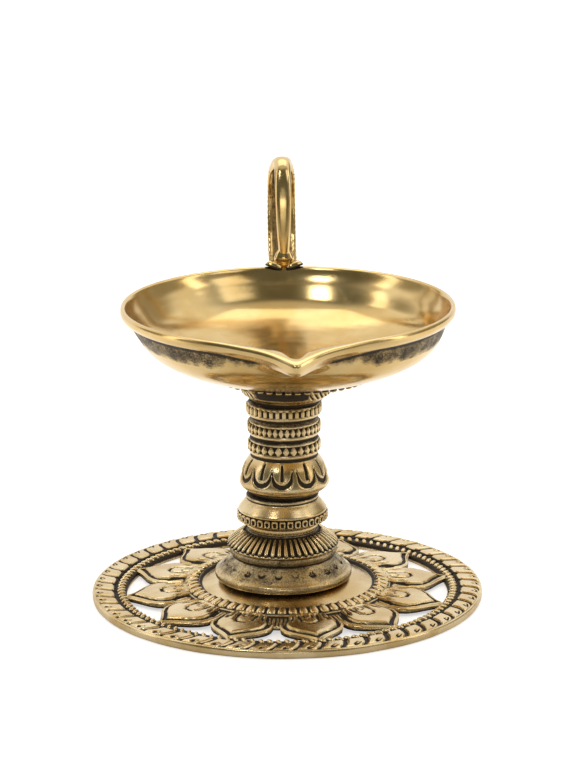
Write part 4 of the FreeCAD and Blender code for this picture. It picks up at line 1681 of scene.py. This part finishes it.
        flattened = Matrix.Translation((0, 2.0, 0)) @ Matrix.Diagonal((1.0, 0.62, 1.0, 1.0))
        body = Turning(outline, sectors=40, step=0.3, blur=0.4).shell(relief).moved(flattened)
        leaf = Boss(Plan.OVAL, 5.9, 3.9, 1.7, skirt=0.4, spokes=24, rings=6, crown=2.0, taper=0.25, bend=-0.2)
        for sign in (-1, 1):
            lean = Matrix.Rotation(math.radians(-16 * sign), 4, "Y") @ Matrix.Diagonal((sign, 1.0, 1.0, 1.0))
            place = Matrix.Translation((3.4 * sign, 1.6, rim + 0.15)) @ lean
            body = body.joined(leaf.shell().moved(place).outward())
        return body

    def build(self) -> None:
        """Makes the handle as one piece."""
        shell = self._strap().joined(self._foot())
        turn = Matrix.Rotation(math.radians(self.twist), 4, "Z")
        place = Matrix.Translation((self.side, self.front, 0)) @ turn
        self.shop.fit(shell.moved(place).to_object("loop_handle"), Body.BOWL, Finish.POLISHED, "finger_loop")


# --- the studio -----------------------------------------------------------------------------------


@dataclass(frozen=True)
class SoftBox:
    """A square light, aimed at a point above the plate."""

    name: str
    place: tuple[float, float, float]
    size: tuple[float, float]
    watts: float
    colour: tuple[float, float, float] = (1.0, 0.98, 0.95)


@dataclass
class Studio:
    """Pale floor, soft boxes, a plain surround and the camera. Lengths in metres."""

    camera_place: tuple[float, float, float] = (0.0, -1.050, 0.355402)
    camera_dip: float = 0.265449
    camera_roll: float = -0.0013951
    camera_swing: float = -0.00614476
    lens: float = 157.53
    aim: tuple[float, float, float] = (0.0, 0.0, 0.06)
    floor_glow: float = 0.45
    floor_seen: float = 0.60
    wall_front: tuple[float, float, float] = (0.12, 0.12, 0.095)
    wall_side: tuple[float, float, float] = (0.34, 0.32, 0.27)
    wall_back: tuple[float, float, float] = (1.0, 1.0, 1.0)
    ceiling: tuple[float, float, float] = (0.66, 0.64, 0.58)

    def boxes(self) -> tuple[SoftBox, ...]:
        """The lights."""
        return (
            SoftBox("overhead", (0.0, 0.35, 1.1), (1.0, 0.7), 2.4),
            SoftBox("front_left", (-0.42, -0.72, 0.95), (0.22, 0.22), 1.3),
            SoftBox("front_right", (0.70, -0.55, 0.89), (0.45, 0.45), 0.8),
            SoftBox("front_low", (0.02, -1.30, 0.30), (0.42, 0.26), 0.75),
            SoftBox("left_wall", (-1.1, -0.1, 0.45), (0.22, 0.9), 1.0),
            SoftBox("right_wall", (1.1, -0.2, 0.5), (0.22, 0.9), 1.2),
        )

    def build(self) -> None:
        """Sets up everything around the lamp."""
        self._floor()
        for box in self.boxes():
            self._light(box)
        self._surround()
        self._camera()
        scene = bpy.context.scene
        scene.view_settings.view_transform = "Standard"
        scene.view_settings.look = "None"

    def _floor(self) -> None:
        """A wide pale floor just under the plate."""
        mesh = bpy.data.meshes.new("floor")
        reach, level = 4.0, -0.00005
        signs = ((-1, -1), (1, -1), (1, 1), (-1, 1))
        corners = [(x * reach, y * reach, level) for x, y in signs]
        mesh.from_pydata(corners, [], [(0, 1, 2, 3)])
        floor = bpy.data.objects.new("floor", mesh)
        bpy.context.scene.collection.objects.link(floor)
        paint = bpy.data.materials.new("pale_floor")
        paint.use_nodes = True
        shader = paint.node_tree.nodes["Principled BSDF"]
        shader.inputs["Base Color"].default_value = (0.80, 0.795, 0.79, 1.0)
        shader.inputs["Roughness"].default_value = 0.75
        shader.inputs["Specular IOR Level"].default_value = 0.1
        shader.inputs["Emission Color"].default_value = (1.0, 0.99, 0.98, 1.0)
        tree = paint.node_tree
        seen = tree.nodes.new("ShaderNodeLightPath").outputs["Is Camera Ray"]
        place = tree.nodes.new("ShaderNodeSeparateXYZ")
        tree.links.new(tree.nodes.new("ShaderNodeTexCoord").outputs["Object"], place.inputs[0])
        to_side = node_value(tree, "ABSOLUTE", place.outputs[0])
        aside = node_value(tree, "MULTIPLY_ADD", to_side, 0.35, place.outputs[1])
        glow = node_value(tree, "MULTIPLY", node_range(tree, aside, -0.10, 0.15), self.floor_glow)
        lift = node_value(tree, "SUBTRACT", self.floor_seen, glow)
        tree.links.new(node_value(tree, "MULTIPLY_ADD", seen, lift, glow), shader.inputs["Emission Strength"])
        mesh.materials.append(paint)

    def _light(self, box: SoftBox) -> None:
        """Hangs one soft box.

        Args:
            box: The soft box.
        """
        data = bpy.data.lights.new(box.name, "AREA")
        data.shape = "RECTANGLE"
        data.size, data.size_y = box.size
        data.energy = box.watts
        data.color = box.colour
        light = bpy.data.objects.new(box.name, data)
        light.location = box.place
        light.rotation_euler = (Vector(self.aim) - Vector(box.place)).to_track_quat("-Z", "Y").to_euler()
        bpy.context.scene.collection.objects.link(light)

    def _surround(self) -> None:
        """White behind the lamp, and for reflections a room: bright ceiling, dim walls, dark at the front."""
        world = bpy.data.worlds.new("surround")
        bpy.context.scene.world = world
        world.use_nodes = True
        tree = world.node_tree
        out = tree.nodes["World Output"]
        plain = tree.nodes["Background"]
        plain.inputs["Color"].default_value = (1.0, 1.0, 1.0, 1.0)
        room = tree.nodes.new("ShaderNodeBackground")
        way = tree.nodes.new("ShaderNodeTexCoord").outputs["Generated"]
        split = tree.nodes.new("ShaderNodeSeparateXYZ")
        tree.links.new(way, split.inputs[0])
        side, depth, up = split.outputs
        walls = node_mix(tree, node_range(tree, depth, -0.45, 0.15), self.wall_front, self.wall_back)
        low = node_range(tree, up, 0.58, 0.42)
        right = node_value(tree, "MULTIPLY", node_range(tree, side, 0.52, 0.68), low)
        left = node_value(tree, "MULTIPLY", node_range(tree, side, -0.80, -0.92), low)
        walls = node_mix(tree, node_value(tree, "MAXIMUM", right, left), walls, self.wall_side)
        inside = node_mix(tree, node_range(tree, up, 0.80, 0.95), walls, self.ceiling)
        tree.links.new(inside, room.inputs["Color"])
        seen = tree.nodes.new("ShaderNodeLightPath").outputs["Is Camera Ray"]
        mix = tree.nodes.new("ShaderNodeMixShader")
        tree.links.new(seen, mix.inputs[0])
        tree.links.new(room.outputs[0], mix.inputs[1])
        tree.links.new(plain.outputs[0], mix.inputs[2])
        tree.links.new(mix.outputs[0], out.inputs["Surface"])

    def _camera(self) -> None:
        """The camera, level with the lamp's front and looking slightly down."""
        data = bpy.data.cameras.new("camera")
        data.lens = self.lens
        data.sensor_width = 36.0
        camera = bpy.data.objects.new("camera", data)
        roll = Matrix.Rotation(self.camera_roll, 4, "Z")
        dip = Matrix.Rotation(math.pi / 2 - self.camera_dip, 4, "X")
        swing = Matrix.Rotation(self.camera_swing, 4, "Z")
        camera.matrix_world = Matrix.Translation(self.camera_place) @ roll @ dip @ swing
        bpy.context.scene.collection.objects.link(camera)
        bpy.context.scene.camera = camera


def main() -> None:
    """Builds the lamp piece by piece, dresses it and sets up the studio."""
    logging.basicConfig(level=logging.INFO, format="%(name)s: %(message)s")
    shop = Workshop.open()
    for part in (LotusPlate, StemFoot, SkirtStem, LotusColumn, BowlSeat, OilBowl, FingerLoop):
        part(shop).build()
    for node in ("tie_bolt", "bolt_washer"):
        for slot in FRAME["nodes"][node].material_slots:
            slot.material = shop.finishes[Finish.STEEL]
    Studio().build()


if __name__ == "__main__":
    main()
